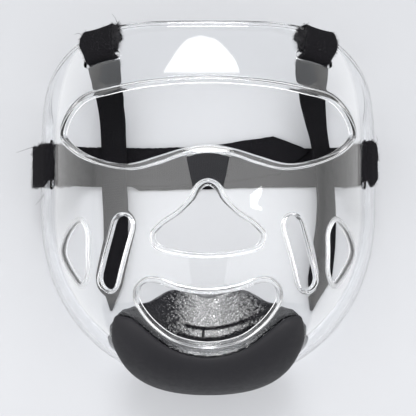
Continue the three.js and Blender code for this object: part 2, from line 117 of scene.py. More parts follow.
for side, name in ((-1, "card_left"), (1, "card_right")):
    card(name, [(1.2 * side, -0.6, 0), (1.2 * side, 0.7, 0), (0.2 * side, 0.7, 2), (0.2 * side, -0.6, 2)],
         0.75, 1.9, (0.0, 0.95))
    card(name + "_low", [(0.17 * side, -0.2, 0.002), (0.17 * side, 0.5, 0.002), (0.6 * side, 0.5, 0.2),
                         (0.6 * side, -0.2, 0.2)], 1.3, 0.85, (0.0, 0.2))
card("card_chin", [(-0.2, -1.3, 2), (0.2, -1.3, 2), (0.2, -0.1, 2), (-0.2, -0.1, 2)], 1.3, 1.3)
BROW_SHAPE = [(-0.242, 0.821), (-0.152, 0.605), (-0.091, 0.396), (-0.048, 0.217), (-0.016, 0.16),
              (0.014, 0.217), (0.052, 0.431), (0.093, 0.605), (0.132, 0.821)]
card("card_brow", [(x, 1.235, z) for x, z in BROW_SHAPE], 4.2, 4.2)
softbox("lamp_spark", (0.545, 0.01, 1.067), (0.05, 0.0, 0.09), (0.022, 0.15), 6.0, 8)
softbox("lamp_key", (0, 0.8, 1.39), (0, 0, 0.05), (0.42, 0.66), 12.0)

world = bpy.data.worlds.new("studio")
world.use_nodes = True
bpy.context.scene.world = world
world_tree = world.node_tree
background = world_tree.nodes["Background"]
skyward = world_tree.nodes.new("ShaderNodeSeparateXYZ")
world_tree.links.new(world_tree.nodes.new("ShaderNodeTexCoord").outputs["Generated"], skyward.inputs[0])
overhead = world_tree.nodes.new("ShaderNodeValToRGB")
overhead.color_ramp.elements[0].position = 0.86
overhead.color_ramp.elements[0].color = (0.80, 0.82, 0.85, 1)
overhead.color_ramp.elements[1].position = 0.95
overhead.color_ramp.elements[1].color = (0.31, 0.315, 0.335, 1)
world_tree.links.new(skyward.outputs["Z"], overhead.inputs["Fac"])
world_tree.links.new(overhead.outputs["Color"], background.inputs["Color"])


# %% Floor
def new_material(name):
    material = bpy.data.materials.new(name)
    material.use_nodes = True
    tree = material.node_tree
    return material, tree, tree.nodes["Principled BSDF"]


floor_mesh = bpy.data.meshes.new("floor")
floor_mesh.from_pydata([(-3, -3, 0), (3, -3, 0), (3, 3, 0), (-3, 3, 0)], [], [(0, 1, 2, 3)])
floor = bpy.data.objects.new("floor", floor_mesh)
bpy.context.scene.collection.objects.link(floor)
paper, paper_tree, paper_shader = new_material("studio_paper")
paper_place = paper_tree.nodes.new("ShaderNodeSeparateXYZ")
paper_tree.links.new(paper_tree.nodes.new("ShaderNodeTexCoord").outputs["Object"], paper_place.inputs[0])
# Painted light: the paper's colour is painted darker towards the forehead side and lighter towards the chin side,
# standing in for how the lamps' light falls off across the floor.
painted_light_ramp = paper_tree.nodes.new("ShaderNodeMapRange")
painted_light_ramp.inputs["From Min"].default_value = 0.15
painted_light_ramp.inputs["From Max"].default_value = -0.1
paper_tree.links.new(paper_place.outputs["Y"], painted_light_ramp.inputs["Value"])
painted_light_mix = paper_tree.nodes.new("ShaderNodeMix")
painted_light_mix.data_type = "RGBA"
painted_light_mix.inputs["A"].default_value = (0.446, 0.452, 0.468, 1)
painted_light_mix.inputs["B"].default_value = (0.525, 0.53, 0.547, 1)
paper_tree.links.new(painted_light_ramp.outputs["Result"], painted_light_mix.inputs["Factor"])
paper_tree.links.new(painted_light_mix.outputs["Result"], paper_shader.inputs["Base Color"])
paper_shader.inputs["Roughness"].default_value = 0.9
floor.data.materials.append(paper)

# %% [markdown]
# ## The dome
# Seen from the front, the dome's footprint is a rounded square at the forehead and nearly round
# at the jaw, so two superellipses are joined at the widest place. Every section through the nose
# axis is a superellipse too. An angle of 0 points up the forehead and 180 degrees at the chin.
# The tilt opens from the nose axis, 0, to the floor, 90 degrees.

# %% The dome's rule
WALL = 0.0025
DEPTH, HALF_WIDTH = 0.108, 0.1055
FOREHEAD_REACH, CHIN_REACH = 0.135, 0.107


def footprint(angle):
    side, along = np.abs(np.sin(angle)), np.cos(angle)
    reach = np.where(along > 0, FOREHEAD_REACH, CHIN_REACH)
    corner = np.where(along > 0, 3.6, 2.16)
    return ((side / HALF_WIDTH) ** corner + (np.abs(along) / reach) ** corner) ** (-1 / corner)


def fullness(angle):
    along = np.cos(angle)
    return 2.1 + np.where(along > 0, 0.1, 1.3) * along**2


def rim_height(angle):
    turn = np.abs(np.arctan2(np.sin(angle), np.cos(angle)))
    brow = np.clip(turn / math.radians(61), 0, 1) ** 3.2
    chin = np.clip((math.pi - turn) / math.radians(45), 0, 1) ** 2
    return 0.070 * (1 - brow) ** 0.8 + 0.018 * (1 - chin) ** 1.2


def dome_normal(points):
    def outness(offset):
        moved = points + offset
        angle = np.arctan2(moved[:, 0], moved[:, 1])
        power = fullness(angle)
        across = (np.hypot(moved[:, 0], moved[:, 1]) / footprint(angle)) ** power
        return across + (np.abs(moved[:, 2]) / DEPTH) ** power

    step = np.eye(3) * 1e-5
    slope = np.stack([outness(step[axis]) - outness(-step[axis]) for axis in range(3)], axis=1)
    return slope / np.linalg.norm(slope, axis=1, keepdims=True)


def dome(angle, tilt, depth=0.0):
    """Points under the outer face, seen from the nose axis. A negative depth stands proud."""
    angle, tilt = np.broadcast_arrays(np.asarray(angle, float), np.asarray(tilt, float))
    power = fullness(angle)
    size = (np.sin(tilt) ** power + np.abs(np.cos(tilt)) ** power) ** (-1 / power)
    reach = footprint(angle) * size * np.sin(tilt)
    points = np.stack([reach * np.sin(angle), reach * np.cos(angle), DEPTH * size * np.cos(tilt)], axis=-1)
    flat = points.reshape(-1, 3)
    depths = np.broadcast_to(depth, angle.shape).reshape(-1, 1)
    return (flat - dome_normal(flat) * depths).reshape(points.shape)


def tilt_at_reach(angle, reach):
    power, share = fullness(angle), reach / footprint(angle)
    return np.arctan2(share, (1 - share**power) ** (1 / power))


def tilt_at_height(angle, height):
    power, share = fullness(angle), height / DEPTH
    return np.arctan2((1 - share**power) ** (1 / power), share)


print("widest at the rim:", round(2 * float(footprint(np.array(math.pi / 2))), 4), "m")

# %% [markdown]
# ## The clear shell
# The real shell is moulded in one shot, with a lip turned inwards round every opening and a
# flange along the rim. It could be a thickened and cut surface, but boolean cuts leave long thin
# faces, and a mirror-smooth surface shows every one of them. So the shell is drawn as a flat
# pattern first, filled with even triangles up to each opening's edge, and then wrapped onto the
# dome. Each edge gets its own rolled strip with rounded corners.
#
# On the pattern, distance from the middle is tilt and direction is angle.

# %% Flat pattern
SPREAD = 0.11


def flatten(points):
    points = np.asarray(points, float)
    angle = np.arctan2(points[:, 0], points[:, 1])
    tilt = tilt_at_reach(angle, np.hypot(points[:, 0], points[:, 1]))
    return SPREAD * tilt[:, None] * np.stack([np.sin(angle), np.cos(angle)], axis=1)


def wrap(pattern, depth=0.0):
    return dome(np.arctan2(pattern[:, 0], pattern[:, 1]), np.hypot(pattern[:, 0], pattern[:, 1]) / SPREAD, depth)


def smooth_path(points, spacing, closed=False):
    """A centripetal Catmull-Rom curve through the points, cut into equal lengths."""
    points = np.asarray(points, float)
    if closed:
        ring = np.vstack([points[-1], points, points[:2]])
    else:
        ring = np.vstack([2 * points[0] - points[1], points, 2 * points[-1] - points[-2]])
    dense = []
    for p0, p1, p2, p3 in zip(ring, ring[1:], ring[2:], ring[3:]):
        k1 = max(np.linalg.norm((p1 - p0)[:3]) ** 0.5, 1e-6)
        k2 = k1 + max(np.linalg.norm((p2 - p1)[:3]) ** 0.5, 1e-6)
        k3 = k2 + max(np.linalg.norm((p3 - p2)[:3]) ** 0.5, 1e-6)
        t = np.linspace(k1, k2, 40, endpoint=False)[:, None]
        a1 = (k1 - t) / k1 * p0 + t / k1 * p1
        a2 = (k2 - t) / (k2 - k1) * p1 + (t - k1) / (k2 - k1) * p2
        a3 = (k3 - t) / (k3 - k2) * p2 + (t - k2) / (k3 - k2) * p3
        b1 = (k2 - t) / k2 * a1 + t / k2 * a2
        b2 = (k3 - t) / (k3 - k1) * a2 + (t - k1) / (k3 - k1) * a3
        dense.append((k2 - t) / (k2 - k1) * b1 + (t - k1) / (k2 - k1) * b2)
    dense = np.vstack(dense + [points[:1] if closed else points[-1:]])
    steps = np.linalg.norm(np.diff(dense[:, :3], axis=0), axis=1)
    run = np.concatenate([[0], np.cumsum(steps)])
    count = max(8, int(round(run[-1] / spacing)))
    places = np.linspace(0, run[-1], count + 1)[: count if closed else count + 1]
    return np.stack([np.interp(places, run, dense[:, k]) for k in range(points.shape[1])], axis=1)


def anticlockwise(loop):
    x, y = loop[:, 0], loop[:, 1]
    area = np.sum(x * np.roll(y, -1) - np.roll(x, -1) * y)
    return loop if area > 0 else loop[::-1]


def leftwards(loop):
    along = np.roll(loop, -1, axis=0) - np.roll(loop, 1, axis=0)
    along /= np.linalg.norm(along, axis=1, keepdims=True)
    return np.stack([-along[:, 1], along[:, 0]], axis=1)


# %% [markdown]
# The outlines are given in millimetres as the right half of each opening, where the lip starts
# to roll in. The left half is its mirror image.

# %% Opening outlines
EYE = [(0, 74.3), (30, 72.6), (56, 68.7), (73, 64.4), (83.8, 53.5), (86.9, 41.5),
       (77, 31), (61.5, 24.1), (43, 21), (27.5, 24.1), (14, 28.8), (0, 31.2)]
NOSE = [(0, 16), (5.8, 13.6), (9.6, 7.6), (15.6, 0.4), (27.6, -8), (32.4, -14.1), (29.7, -21.7),
        (16, -25.8), (0, -27.1)]
MOUTH = [(0, -44), (16.5, -41.8), (28.6, -37.8), (35.5, -38.4), (41, -44), (41.8, -51),
         (37.5, -59.5), (29.8, -68), (19, -75.2), (0, -79)]
SIDE_VENT = [(73, -6), (68.3, -12), (67.8, -25), (68.3, -38), (72.5, -45), (79, -38.5),
             (85.2, -26), (81, -13)]
CHEEK_VENT = ((47.9, -9.8), (56.4, -40), 8)
CROWN_SLOT = ((53, 86.9), (69, 83.3), 2.4)
BACK_SLOT = ((92.2, 37.6), (92.2, 13.2), 2.1)


def mirrored(points):
    return [(-x, y) for x, y in points]


def whole(half):
    return half + mirrored(half[1:-1])[::-1]


def opening(points, spacing=0.0014):
    return anticlockwise(smooth_path(flatten(smooth_path(np.array(points) / 1000, 0.002, True)), spacing, True))


def slot_ends(slot, side):
    upper, lower, half = slot
    ends = flatten(np.array([upper, lower]) * [side, 1] / 1000)
    return ends[0], ends[1], half / 1000


def slot_opening(slot, side, spacing=0.0008):
    upper, lower, half = slot_ends(slot, side)
    heading = math.atan2(*(upper - lower)[::-1])
    ring = []
    for centre, start in ((upper, heading - math.pi / 2), (lower, heading + math.pi / 2)):
        for turn in np.linspace(start, start + math.pi, 9):
            ring.append(centre + half * np.array([math.cos(turn), math.sin(turn)]))
    ring = np.array(ring)
    steps = np.linalg.norm(np.diff(np.vstack([ring, ring[:1]]), axis=0), axis=1)
    run = np.concatenate([[0], np.cumsum(steps)])
    places = np.linspace(0, run[-1], int(run[-1] / spacing), endpoint=False)
    ring = np.vstack([ring, ring[:1]])
    return anticlockwise(np.stack([np.interp(places, run, ring[:, k]) for k in range(2)], axis=1))


lipped = [opening(whole(EYE)), opening(whole(NOSE)), opening(whole(MOUTH)),
          opening(SIDE_VENT), opening(mirrored(SIDE_VENT)),
          slot_opening(CHEEK_VENT, 1, 0.0014), slot_opening(CHEEK_VENT, -1, 0.0014)]
plain = [slot_opening(slot, side) for slot in (CROWN_SLOT, BACK_SLOT) for side in (1, -1)]
turns = np.linspace(0, 2 * math.pi, 721)[:-1]
blur = np.exp(-0.5 * (np.arange(-9, 10) / 3) ** 2)
rim_tilts = tilt_at_height(turns, rim_height(turns))
rim_tilts = np.convolve(np.pad(rim_tilts, 9, mode="wrap"), blur / blur.sum(), "valid")
rim_line = SPREAD * rim_tilts[:, None] * np.stack([np.sin(turns), np.cos(turns)], axis=1)
rim_line = anticlockwise(smooth_path(rim_line, 0.0016, True))
print("openings:", len(lipped) + len(plain), "rim points:", len(rim_line))

# %% [markdown]
# Each edge is a profile of two numbers: how far a point lies from the edge line into the
# material, and how deep it lies under the outer face. The lips roll over with a round shoulder,
# run inwards and end in a rounded bead. The strap slots are only cut and tumbled smooth.

# %% Edge profiles
LIP_WIDTH, VENT_LIP_WIDTH = 0.0029, 0.0019
LIP_DEPTH, SIDE_LIP_DEPTH = 4.6, 3.2


def lip_profile(deep, thick):
    corner = [(1.2, 0), (0.9, 0), (0.62, 0.03), (0.38, 0.11), (0.18, 0.26), (0.05, 0.46), (0, 0.72), (0, 1.0)]
    inner_foot = [(across, deep - rise) for across, rise in corner[::-1][:-2]]
    outer_foot = [(thick - across, deep - rise) for across, rise in corner[2:6]]
    shares = np.linspace(0, 1, 8)
    fillet = [(thick + 0.9 * t**1.8, 2.5 + (deep - 3.0) * (1 - t) ** 1.8) for t in shares]
    return np.array([(3.8, 0)] + corner + inner_foot + outer_foot + fillet + [(3.8, 2.5)]) / 1000


slot_profile = np.array([(1.2, 0), (0.7, 0.04), (0.3, 0.22), (0.06, 0.6), (0, 1.2), (0.05, 1.9),
                         (0.3, 2.3), (0.7, 2.46), (1.2, 2.5)]) / 1000


def inside(points, loop):
    hits = np.zeros(len(points), bool)
    for a, b in zip(loop, np.roll(loop, -1, axis=0)):
        if a[1] == b[1]:
            continue
        between = (a[1] > points[:, 1]) != (b[1] > points[:, 1])
        cross = a[0] + (points[:, 1] - a[1]) * (b[0] - a[0]) / (b[1] - a[1])
        hits ^= between & (points[:, 0] < cross)
    return hits


def near(points, loop, distance):
    close = np.zeros(len(points), bool)
    for start in range(0, len(loop), 200):
        part = loop[start:start + 200]
        gaps = np.linalg.norm(points[:, None, :] - part[None, :, :], axis=2)
        close |= gaps.min(axis=1) < distance
    return close


# %% [markdown]
# Every loop is stored with its edge line, the direction into the material, and the line where
# the rolled strip meets the sheet. A grid of points fills the sheet between those lines, and a
# constrained Delaunay triangulation joins them into even triangles.

# %% Sheet triangles
edges = []
lip_sizes = [(LIP_WIDTH, LIP_DEPTH)] * 3 + [(VENT_LIP_WIDTH, SIDE_LIP_DEPTH)] * 2 + [(VENT_LIP_WIDTH, LIP_DEPTH)] * 2
for loop, (lip_width, deep) in zip(lipped, lip_sizes):
    edge = loop + leftwards(loop) * lip_width
    edges.append((edge, -leftwards(edge), lip_profile(deep, 1000 * lip_width - 0.6)))
for loop in plain:
    edges.append((loop, -leftwards(loop), slot_profile))
edges.append((rim_line, leftwards(rim_line), lip_profile(4.4, 2.3)))

borders = [edge + into * profile[0, 0] for edge, into, profile in edges]
pitch = 0.0023
columns, rows = np.meshgrid(np.arange(-0.176, 0.176, pitch), np.arange(-0.176, 0.176, pitch * 0.866))
columns = columns + (np.arange(len(columns)) % 2)[:, None] * pitch / 2
grid = np.stack([columns.ravel(), rows.ravel()], axis=1)
keep = inside(grid, borders[-1]) & ~near(grid, borders[-1], 0.0014)
for border in borders[:-1]:
    reach = np.abs(grid - border.mean(axis=0)).max(axis=1) < 0.12
    index = np.flatnonzero(keep & reach)
    bad = inside(grid[index], border) | near(grid[index], border, 0.0013)
    keep[index[bad]] = False
grid = grid[keep]

pattern = np.vstack(borders + [grid])
starts = np.cumsum([0] + [len(border) for border in borders])
links = [(start + k, start + (k + 1) % len(border))
         for start, border in zip(starts, borders) for k in range(len(border))]
found = delaunay_2d_cdt([Vector(p) for p in pattern.tolist()], links, [], 0, 1e-9, False)
pattern_faces = np.array([face for face in found[2] if len(face) == 3])
assert len(found[0]) == len(pattern), "the pattern's lines cross"
middles = pattern[pattern_faces].mean(axis=1)
solid = inside(middles, borders[-1])
for border in borders[:-1]:
    solid &= ~inside(middles, border)
pattern_faces = pattern_faces[solid]
a, b, c = (pattern[pattern_faces[:, k]] for k in range(3))
turned = np.cross(b - a, c - a) < 0
pattern_faces[turned] = pattern_faces[turned][:, ::-1]
print("pattern points:", len(pattern), "faces:", len(pattern_faces))


# %% Shell mesh
def make_object(name, points, faces, material=None, smooth=True, offset=(0, NOSE_Y, 0)):
    mesh = bpy.data.meshes.new(name)
    mesh.from_pydata((np.asarray(points) + np.array(offset)).tolist(), [], [tuple(face) for face in faces])
    mesh.validate()
    mesh.polygons.foreach_set("use_smooth", [smooth] * len(mesh.polygons))
    obj = bpy.data.objects.new(name, mesh)
    bpy.context.scene.collection.objects.link(obj)
    if material:
        mesh.materials.append(material)
    return obj


top = wrap(pattern)
bottom = wrap(pattern, WALL)
count = len(pattern)
points = [top, bottom]
faces = pattern_faces.tolist() + [[c + count, b + count, a + count] for a, b, c in pattern_faces.tolist()]
normals = [dome_normal(top), -dome_normal(top)]
base = 2 * count
for start, (edge, into, profile) in zip(starts, edges):
    ring = len(edge)
    lines = [np.arange(start, start + ring)]
    for distance, depth in profile[1:-1]:
        points.append(wrap(edge + into * distance, depth))
        lines.append(np.arange(base, base + ring))
        base += ring
    lines.append(np.arange(start, start + ring) + count)
    following = np.roll(np.arange(ring), -1)
    inward = np.cross(np.roll(edge, -1, axis=0) - edge, into)
    flip = inward.mean() < 0
    for upper, lower in zip(lines, lines[1:]):
        quads = np.stack([upper, lower, lower[following], upper[following]], axis=1)
        faces += (quads[:, ::-1] if flip else quads).tolist()
points = np.vstack(points)
shell = make_object("clear_shell", points, faces)
print("shell faces:", len(shell.data.polygons))
check = bmesh.new()
check.from_mesh(shell.data)
loose = sum(1 for edge in check.edges if len(edge.link_faces) != 2)
wrong = sum(1 for edge in check.edges if not edge.is_contiguous)
print("open edges:", loose, "edges with faces turned apart:", wrong, "volume cm3:", round(check.calc_volume(signed=True) * 1e6, 1))
check.free()

# %% [markdown]
# A mirror shows the smallest unevenness of the vertex normals, so the sheet's normals are set
# from the dome's own rule. The rolled strips keep the normals of their faces.

# %% Shell normals and frosted cuts
frost = np.zeros(len(points), np.float32)
base = 2 * count
for number, (edge, into, profile) in enumerate(edges):
    ring = len(edge) * (len(profile) - 2)
    if number in (3, 4):
        frost[base:base + ring] = 1.0
    base += ring
shell.data.attributes.new("frost", "FLOAT", "POINT").data.foreach_set("value", frost)
vertex_normals = np.zeros(len(points) * 3, np.float32)
shell.data.vertex_normals.foreach_get("vector", vertex_normals)
vertex_normals = vertex_normals.reshape(-1, 3)
rule = np.vstack(normals)
vertex_normals[: 2 * count] = rule
shell.data.normals_split_custom_set_from_vertices(vertex_normals.tolist())

# %% Clear plastic
clear, tree, shader = new_material("clear_polycarbonate")
shader.inputs["Base Color"].default_value = (0.988, 0.994, 1.0, 1)
shader.inputs["Transmission Weight"].default_value = 1.0
shader.inputs["IOR"].default_value = 1.58
shader.inputs["Specular IOR Level"].default_value = 0.86
frosted = tree.nodes.new("ShaderNodeAttribute")
frosted.attribute_name = "frost"
dullness = tree.nodes.new("ShaderNodeMapRange")
dullness.inputs["To Min"].default_value = 0.02
dullness.inputs["To Max"].default_value = 0.5
tree.links.new(frosted.outputs["Fac"], dullness.inputs["Value"])
tree.links.new(dullness.outputs["Result"], shader.inputs["Roughness"])
light_path = tree.nodes.new("ShaderNodeLightPath")
passing = tree.nodes.new("ShaderNodeBsdfTransparent")
passing.inputs["Color"].default_value = (0.968, 0.973, 0.98, 1)
mix = tree.nodes.new("ShaderNodeMixShader")
tree.links.new(light_path.outputs["Is Shadow Ray"], mix.inputs[0])
tree.links.new(shader.outputs[0], mix.inputs[1])
tree.links.new(passing.outputs[0], mix.inputs[2])
tree.links.new(mix.outputs[0], tree.nodes["Material Output"].inputs["Surface"])
shell.data.materials.append(clear)
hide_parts("shield_shell")
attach(shell, "root")

# %% [markdown]
# ## Shared shader groups
# Cloth, leather and soft-touch rubber all carry a fine grain and small differences of tone. Both
# are made once as node groups with named sizes. A group only puts out heights and masks, and
# each material decides what to do with them.

# %% Grain group
def new_group(name, inputs, outputs):
    group = bpy.data.node_groups.new(name, "ShaderNodeTree")
    for label, kind, value in inputs:
        socket = group.interface.new_socket(label, in_out="INPUT", socket_type=kind)
        if value is not None:
            socket.default_value = value
    for label, kind in outputs:
        group.interface.new_socket(label, in_out="OUTPUT", socket_type=kind)
    return group, group.nodes.new("NodeGroupInput"), group.nodes.new("NodeGroupOutput")


def node(tree, kind, links=(), **values):
    """Adds a node, sets its values, and links (input, source socket) pairs."""
    made = tree.nodes.new(kind)
    for key, value in values.items():
        if key in made.bl_rna.properties:
            setattr(made, key, value)
        else:
            made.inputs[key.replace("_", " ")].default_value = value
    for place, source in links:
        tree.links.new(source, made.inputs[place])
    return made


def ramp(tree, source, *stops):
    made = node(tree, "ShaderNodeValToRGB", [("Fac", source)])
    elements = made.color_ramp.elements
    while len(elements) < len(stops):
        elements.new(0.5)
    for element, (place, value) in zip(elements, stops):
        element.position = place
        element.color = (*value, 1) if isinstance(value, tuple) else (value, value, value, 1)
    return made.outputs["Color"]


grain, inlet, outlet = new_group("pebble_grain", [
    ("Vector", "NodeSocketVector", None), ("Pebble Scale", "NodeSocketFloat", 900.0),
    ("Crease Scale", "NodeSocketFloat", 60.0)],
    [("Height", "NodeSocketFloat"), ("Creases", "NodeSocketFloat"), ("Tone", "NodeSocketFloat")])
pebbles = node(grain, "ShaderNodeTexVoronoi", [("Vector", inlet.outputs["Vector"]), ("Scale", inlet.outputs["Pebble Scale"])],
               feature="SMOOTH_F1", Smoothness=0.6)
creases = node(grain, "ShaderNodeTexNoise", [("Vector", inlet.outputs["Vector"]), ("Scale", inlet.outputs["Crease Scale"])],
               Detail=6.0, Roughness=0.6, Distortion=0.4)
tone = node(grain, "ShaderNodeTexNoise", [("Vector", inlet.outputs["Vector"])], Scale=22.0, Detail=3.0)
grain.links.new(pebbles.outputs["Distance"], outlet.inputs["Height"])
grain.links.new(creases.outputs["Fac"], outlet.inputs["Creases"])
grain.links.new(tone.outputs["Fac"], outlet.inputs["Tone"])
print("group:", grain.name)


def use_group(tree, group, links=(), **values):
    made = tree.nodes.new("ShaderNodeGroup")
    made.node_tree = group
    for key, value in values.items():
        made.inputs[key.replace("_", " ")].default_value = value
    for place, source in links:
        tree.links.new(source, made.inputs[place])
    return made


def object_place(tree):
    return tree.nodes.new("ShaderNodeTexCoord").outputs["Object"]


# %% [markdown]
# ## The chin cup
# The cup is a moulded foam shell with a soft-touch skin, shaped to the outside of the chin. It
# is one crowned form with rounded edges and no sewn panels, so it is swept directly from the
# dome: rows of points follow the chin, a third of a millimetre off the plastic, and swell
# outwards in the middle. A cloth simulation would only wrinkle a skin that is smooth.

# %% Chin tables
# turn from the chin in degrees, distance of the upper edge from the nose axis, height of the
# lower edge of the cup, height of the lower edge of the pad, and how much of the pad is left
CHIN = np.array([(0, 0.0828, 0.018, 0.022, 1.0), (10, 0.0816, 0.022, 0.022, 1.03),
                 (16, 0.0798, 0.038, 0.023, 1.03), (21, 0.0778, 0.051, 0.025, 1.0),
                 (26, 0.0758, 0.063, 0.030, 0.94), (31, 0.0742, 0.073, 0.040, 0.72),
                 (36, 0.0736, 0.080, 0.058, 0.5), (40, 0.0755, 0.0875, 0.078, 0.18)])


def read_chin(turn, column):
    turns, values = CHIN[:, 0], CHIN[:, column]
    slopes = np.gradient(values, turns)
    slopes[0] = 0
    place = np.clip(np.abs(turn), 0, turns[-1])
    k = np.clip(np.searchsorted(turns, place) - 1, 0, len(turns) - 2)
    span = turns[k + 1] - turns[k]
    t = (place - turns[k]) / span
    ends = values[k] * (1 + 2 * t) * (1 - t) ** 2 + values[k + 1] * t * t * (3 - 2 * t)
    return ends + span * t * (1 - t) * (slopes[k] * (1 - t) - slopes[k + 1] * t)


def grid_faces(rows, columns, start=0, closed=False):
    index = start + np.arange(rows * columns).reshape(rows, columns)
    wide = np.concatenate([index, index[:, :1]], axis=1) if closed else index
    quads = np.stack([wide[:-1, :-1], wide[:-1, 1:], wide[1:, 1:], wide[1:, :-1]], axis=-1)
    return quads.reshape(-1, 4).tolist()


def face_out(obj):
    check = bmesh.new()
    check.from_mesh(obj.data)
    bmesh.ops.remove_doubles(check, verts=check.verts, dist=1e-6)
    bmesh.ops.recalc_face_normals(check, faces=check.faces)
    if check.calc_volume(signed=True) < 0:
        bmesh.ops.reverse_faces(check, faces=check.faces)
    check.to_mesh(obj.data)
    check.free()
    obj.data.polygons.foreach_set("use_smooth", [True] * len(obj.data.polygons))


# %% Chin cup mesh
CUP_TURN, CUP_THICKNESS, CUP_CLEARANCE = 40.5, 0.0062, 0.0004
across, down = 121, 41
along_share = np.sin(np.linspace(-math.pi / 2, math.pi / 2, across))
down_share = (1 - np.cos(np.linspace(0, math.pi, down))) / 2
turn = (CUP_TURN * along_share)[:, None]
angle = math.pi - np.radians(turn)
narrowing = np.maximum(1 - np.abs(along_share) ** 11, 0)[:, None] ** 0.42
upper = tilt_at_reach(angle, read_chin(turn, 1))
lower = tilt_at_height(angle, read_chin(turn, 2))
middle, half = (upper + lower) / 2, (lower - upper) / 2 * narrowing
tilt = middle + half * (2 * down_share[None, :] - 1)
crown = np.maximum(1 - np.abs(2 * down_share - 1) ** 3.2, 0)[None, :] ** 0.5
crown = crown * np.maximum(1 - np.abs(along_share) ** 9, 0)[:, None] ** 0.45
angle = np.broadcast_to(angle, tilt.shape)
swell = CUP_THICKNESS * crown * (0.86 + 0.14 * np.cos(np.radians(turn) * 2.2))
outer = dome(angle, tilt, -CUP_CLEARANCE - swell)
inner = dome(angle, tilt, np.full(tilt.shape, -CUP_CLEARANCE))
faces = grid_faces(across, down) + grid_faces(across, down, across * down)
chin_cup = make_object("chin_cup", np.vstack([outer.reshape(-1, 3), inner.reshape(-1, 3)]), faces)
face_out(chin_cup)
print("cup faces:", len(chin_cup.data.polygons))

# %% [markdown]
# The skin is matt charcoal rubber. Its grain is very fine and its tone drifts a little.

# %% Soft-touch skin
soft_touch, tree, shader = new_material("soft_touch_skin")
skin_grain = use_group(tree, grain, [("Vector", object_place(tree))], Pebble_Scale=2600.0, Crease_Scale=260.0)
tree.links.new(ramp(tree, skin_grain.outputs["Tone"], (0.3, (0.0125, 0.0121, 0.0146)), (0.75, (0.0165, 0.016, 0.0188))),
               shader.inputs["Base Color"])
tree.links.new(ramp(tree, skin_grain.outputs["Creases"], (0.3, 0.5), (0.7, 0.62)), shader.inputs["Roughness"])
bump = node(tree, "ShaderNodeBump", [("Height", skin_grain.outputs["Height"])], Strength=0.12, Distance=0.0003)
tree.links.new(bump.outputs["Normal"], shader.inputs["Normal"])
shader.inputs["Specular IOR Level"].default_value = 0.22
chin_cup.data.materials.append(soft_touch)
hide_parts("chin_guard")
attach(chin_cup, "root")

# %% [markdown]
# ## The chin pad
# Behind the plastic sits a thick foam rest covered in pebbled black leather. Its front lies
# against the shell, and a shelf slopes back from the mouth opening to the wearer's chin. The
# cover is a real sewn skin over foam, so it is inflated with a short cloth simulation: the
# shape starts a little small, is remeshed evenly, and a light pressure fills it. A cap on how
# far each point may move keeps it clear of the plastic.

# %% Chin pad form
PAD_FRONT = 0.0034
FREE_SIDE = np.array([(80, 87.5), (77.8, 84), (74.5, 81.6), (70, 80.2), (64, 78.2), (58, 76.1), (52.8, 74.4),
                      (50.2, 72), (49.8, 64), (51.8, 53), (58, 42), (70, 32.5), (84, 26.5)]) / 1000


def pad_front(turn, share):
    angle = math.pi - np.radians(turn)
    upper = tilt_at_reach(angle, read_chin(turn, 1) - 0.0008)
    lower = tilt_at_height(angle, read_chin(turn, 3))
    point = dome(angle, upper + (lower - upper) * share, PAD_FRONT)
    return np.array([math.hypot(point[0], point[1]), point[2]])


def pad_section(turn):
    bulk = float(read_chin(turn, 4))
    free = []
    for k, place in enumerate(FREE_SIDE):
        share = (k + 0.5) / len(FREE_SIDE)
        free.append(pad_front(turn, share) + bulk * (place - pad_front(0, share)))
    front = [pad_front(turn, share) for share in np.linspace(1, 0, 9)]
    ring = smooth_path(np.hstack([np.array(free + front), np.zeros((len(free) + 9, 1))]), 0.0016, True)[:, :2]
    run = np.concatenate([[0], np.cumsum(np.linalg.norm(np.diff(np.vstack([ring, ring[:1]]), axis=0), axis=1))])
    ring = np.vstack([ring, ring[:1]])
    places = np.linspace(0, run[-1], 73)[:-1]
    return np.stack([np.interp(places, run, ring[:, k]) for k in range(2)], axis=1)


PAD_TURN, stations = 40.4, 49
sections = []
for turn in np.linspace(-PAD_TURN, PAD_TURN, stations):
    ring = pad_section(turn)
    angle = math.pi - math.radians(turn)
    sections.append(np.stack([ring[:, 0] * math.sin(angle), ring[:, 0] * math.cos(angle), ring[:, 1]], axis=1))
sections = np.array(sections)
centres = sections.mean(axis=1, keepdims=True)
sections = centres + (sections - centres) * 0.985
faces = grid_faces(stations, 72, closed=True)
faces += [list(range(72))[::-1], [(stations - 1) * 72 + k for k in range(72)]]
chin_pad = make_object("chin_pad_cover", sections.reshape(-1, 3), faces)
face_out(chin_pad)
print("pad form faces:", len(chin_pad.data.polygons))


# %% Inflating the pad
def inflate(obj, voxel, pressure, cap, frames=20):
    start = np.empty(len(obj.data.vertices) * 3)
    remesh = obj.modifiers.new("remesh", "REMESH")
    remesh.mode, remesh.voxel_size = "VOXEL", voxel
    smooth = obj.modifiers.new("smooth", "SMOOTH")
    smooth.iterations = 2
    apply_modifiers(obj)
    start = np.empty(len(obj.data.vertices) * 3)
    obj.data.vertices.foreach_get("co", start)
    cloth = obj.modifiers.new("cloth", "CLOTH")
    cloth.settings.use_pressure = True
    cloth.settings.uniform_pressure_force = pressure
    cloth.settings.effector_weights.gravity = 0
    cloth.settings.quality = 6
    scene = bpy.context.scene
    for step in range(1, frames + 1):
        scene.frame_set(step)
    moved_mesh = obj.evaluated_get(bpy.context.evaluated_depsgraph_get()).data
    moved = np.empty(len(moved_mesh.vertices) * 3)
    moved_mesh.vertices.foreach_get("co", moved)
    obj.modifiers.remove(cloth)
    scene.frame_set(1)
    shift = (moved - start).reshape(-1, 3)
    length = np.linalg.norm(shift, axis=1, keepdims=True)
    shift *= np.minimum(1, cap / np.maximum(length, 1e-9))
    obj.data.vertices.foreach_set("co", (start.reshape(-1, 3) + shift).ravel())
    obj.data.update()
    print(obj.name, "moved at most", round(float(np.minimum(length, cap).max()) * 1000, 2), "mm")


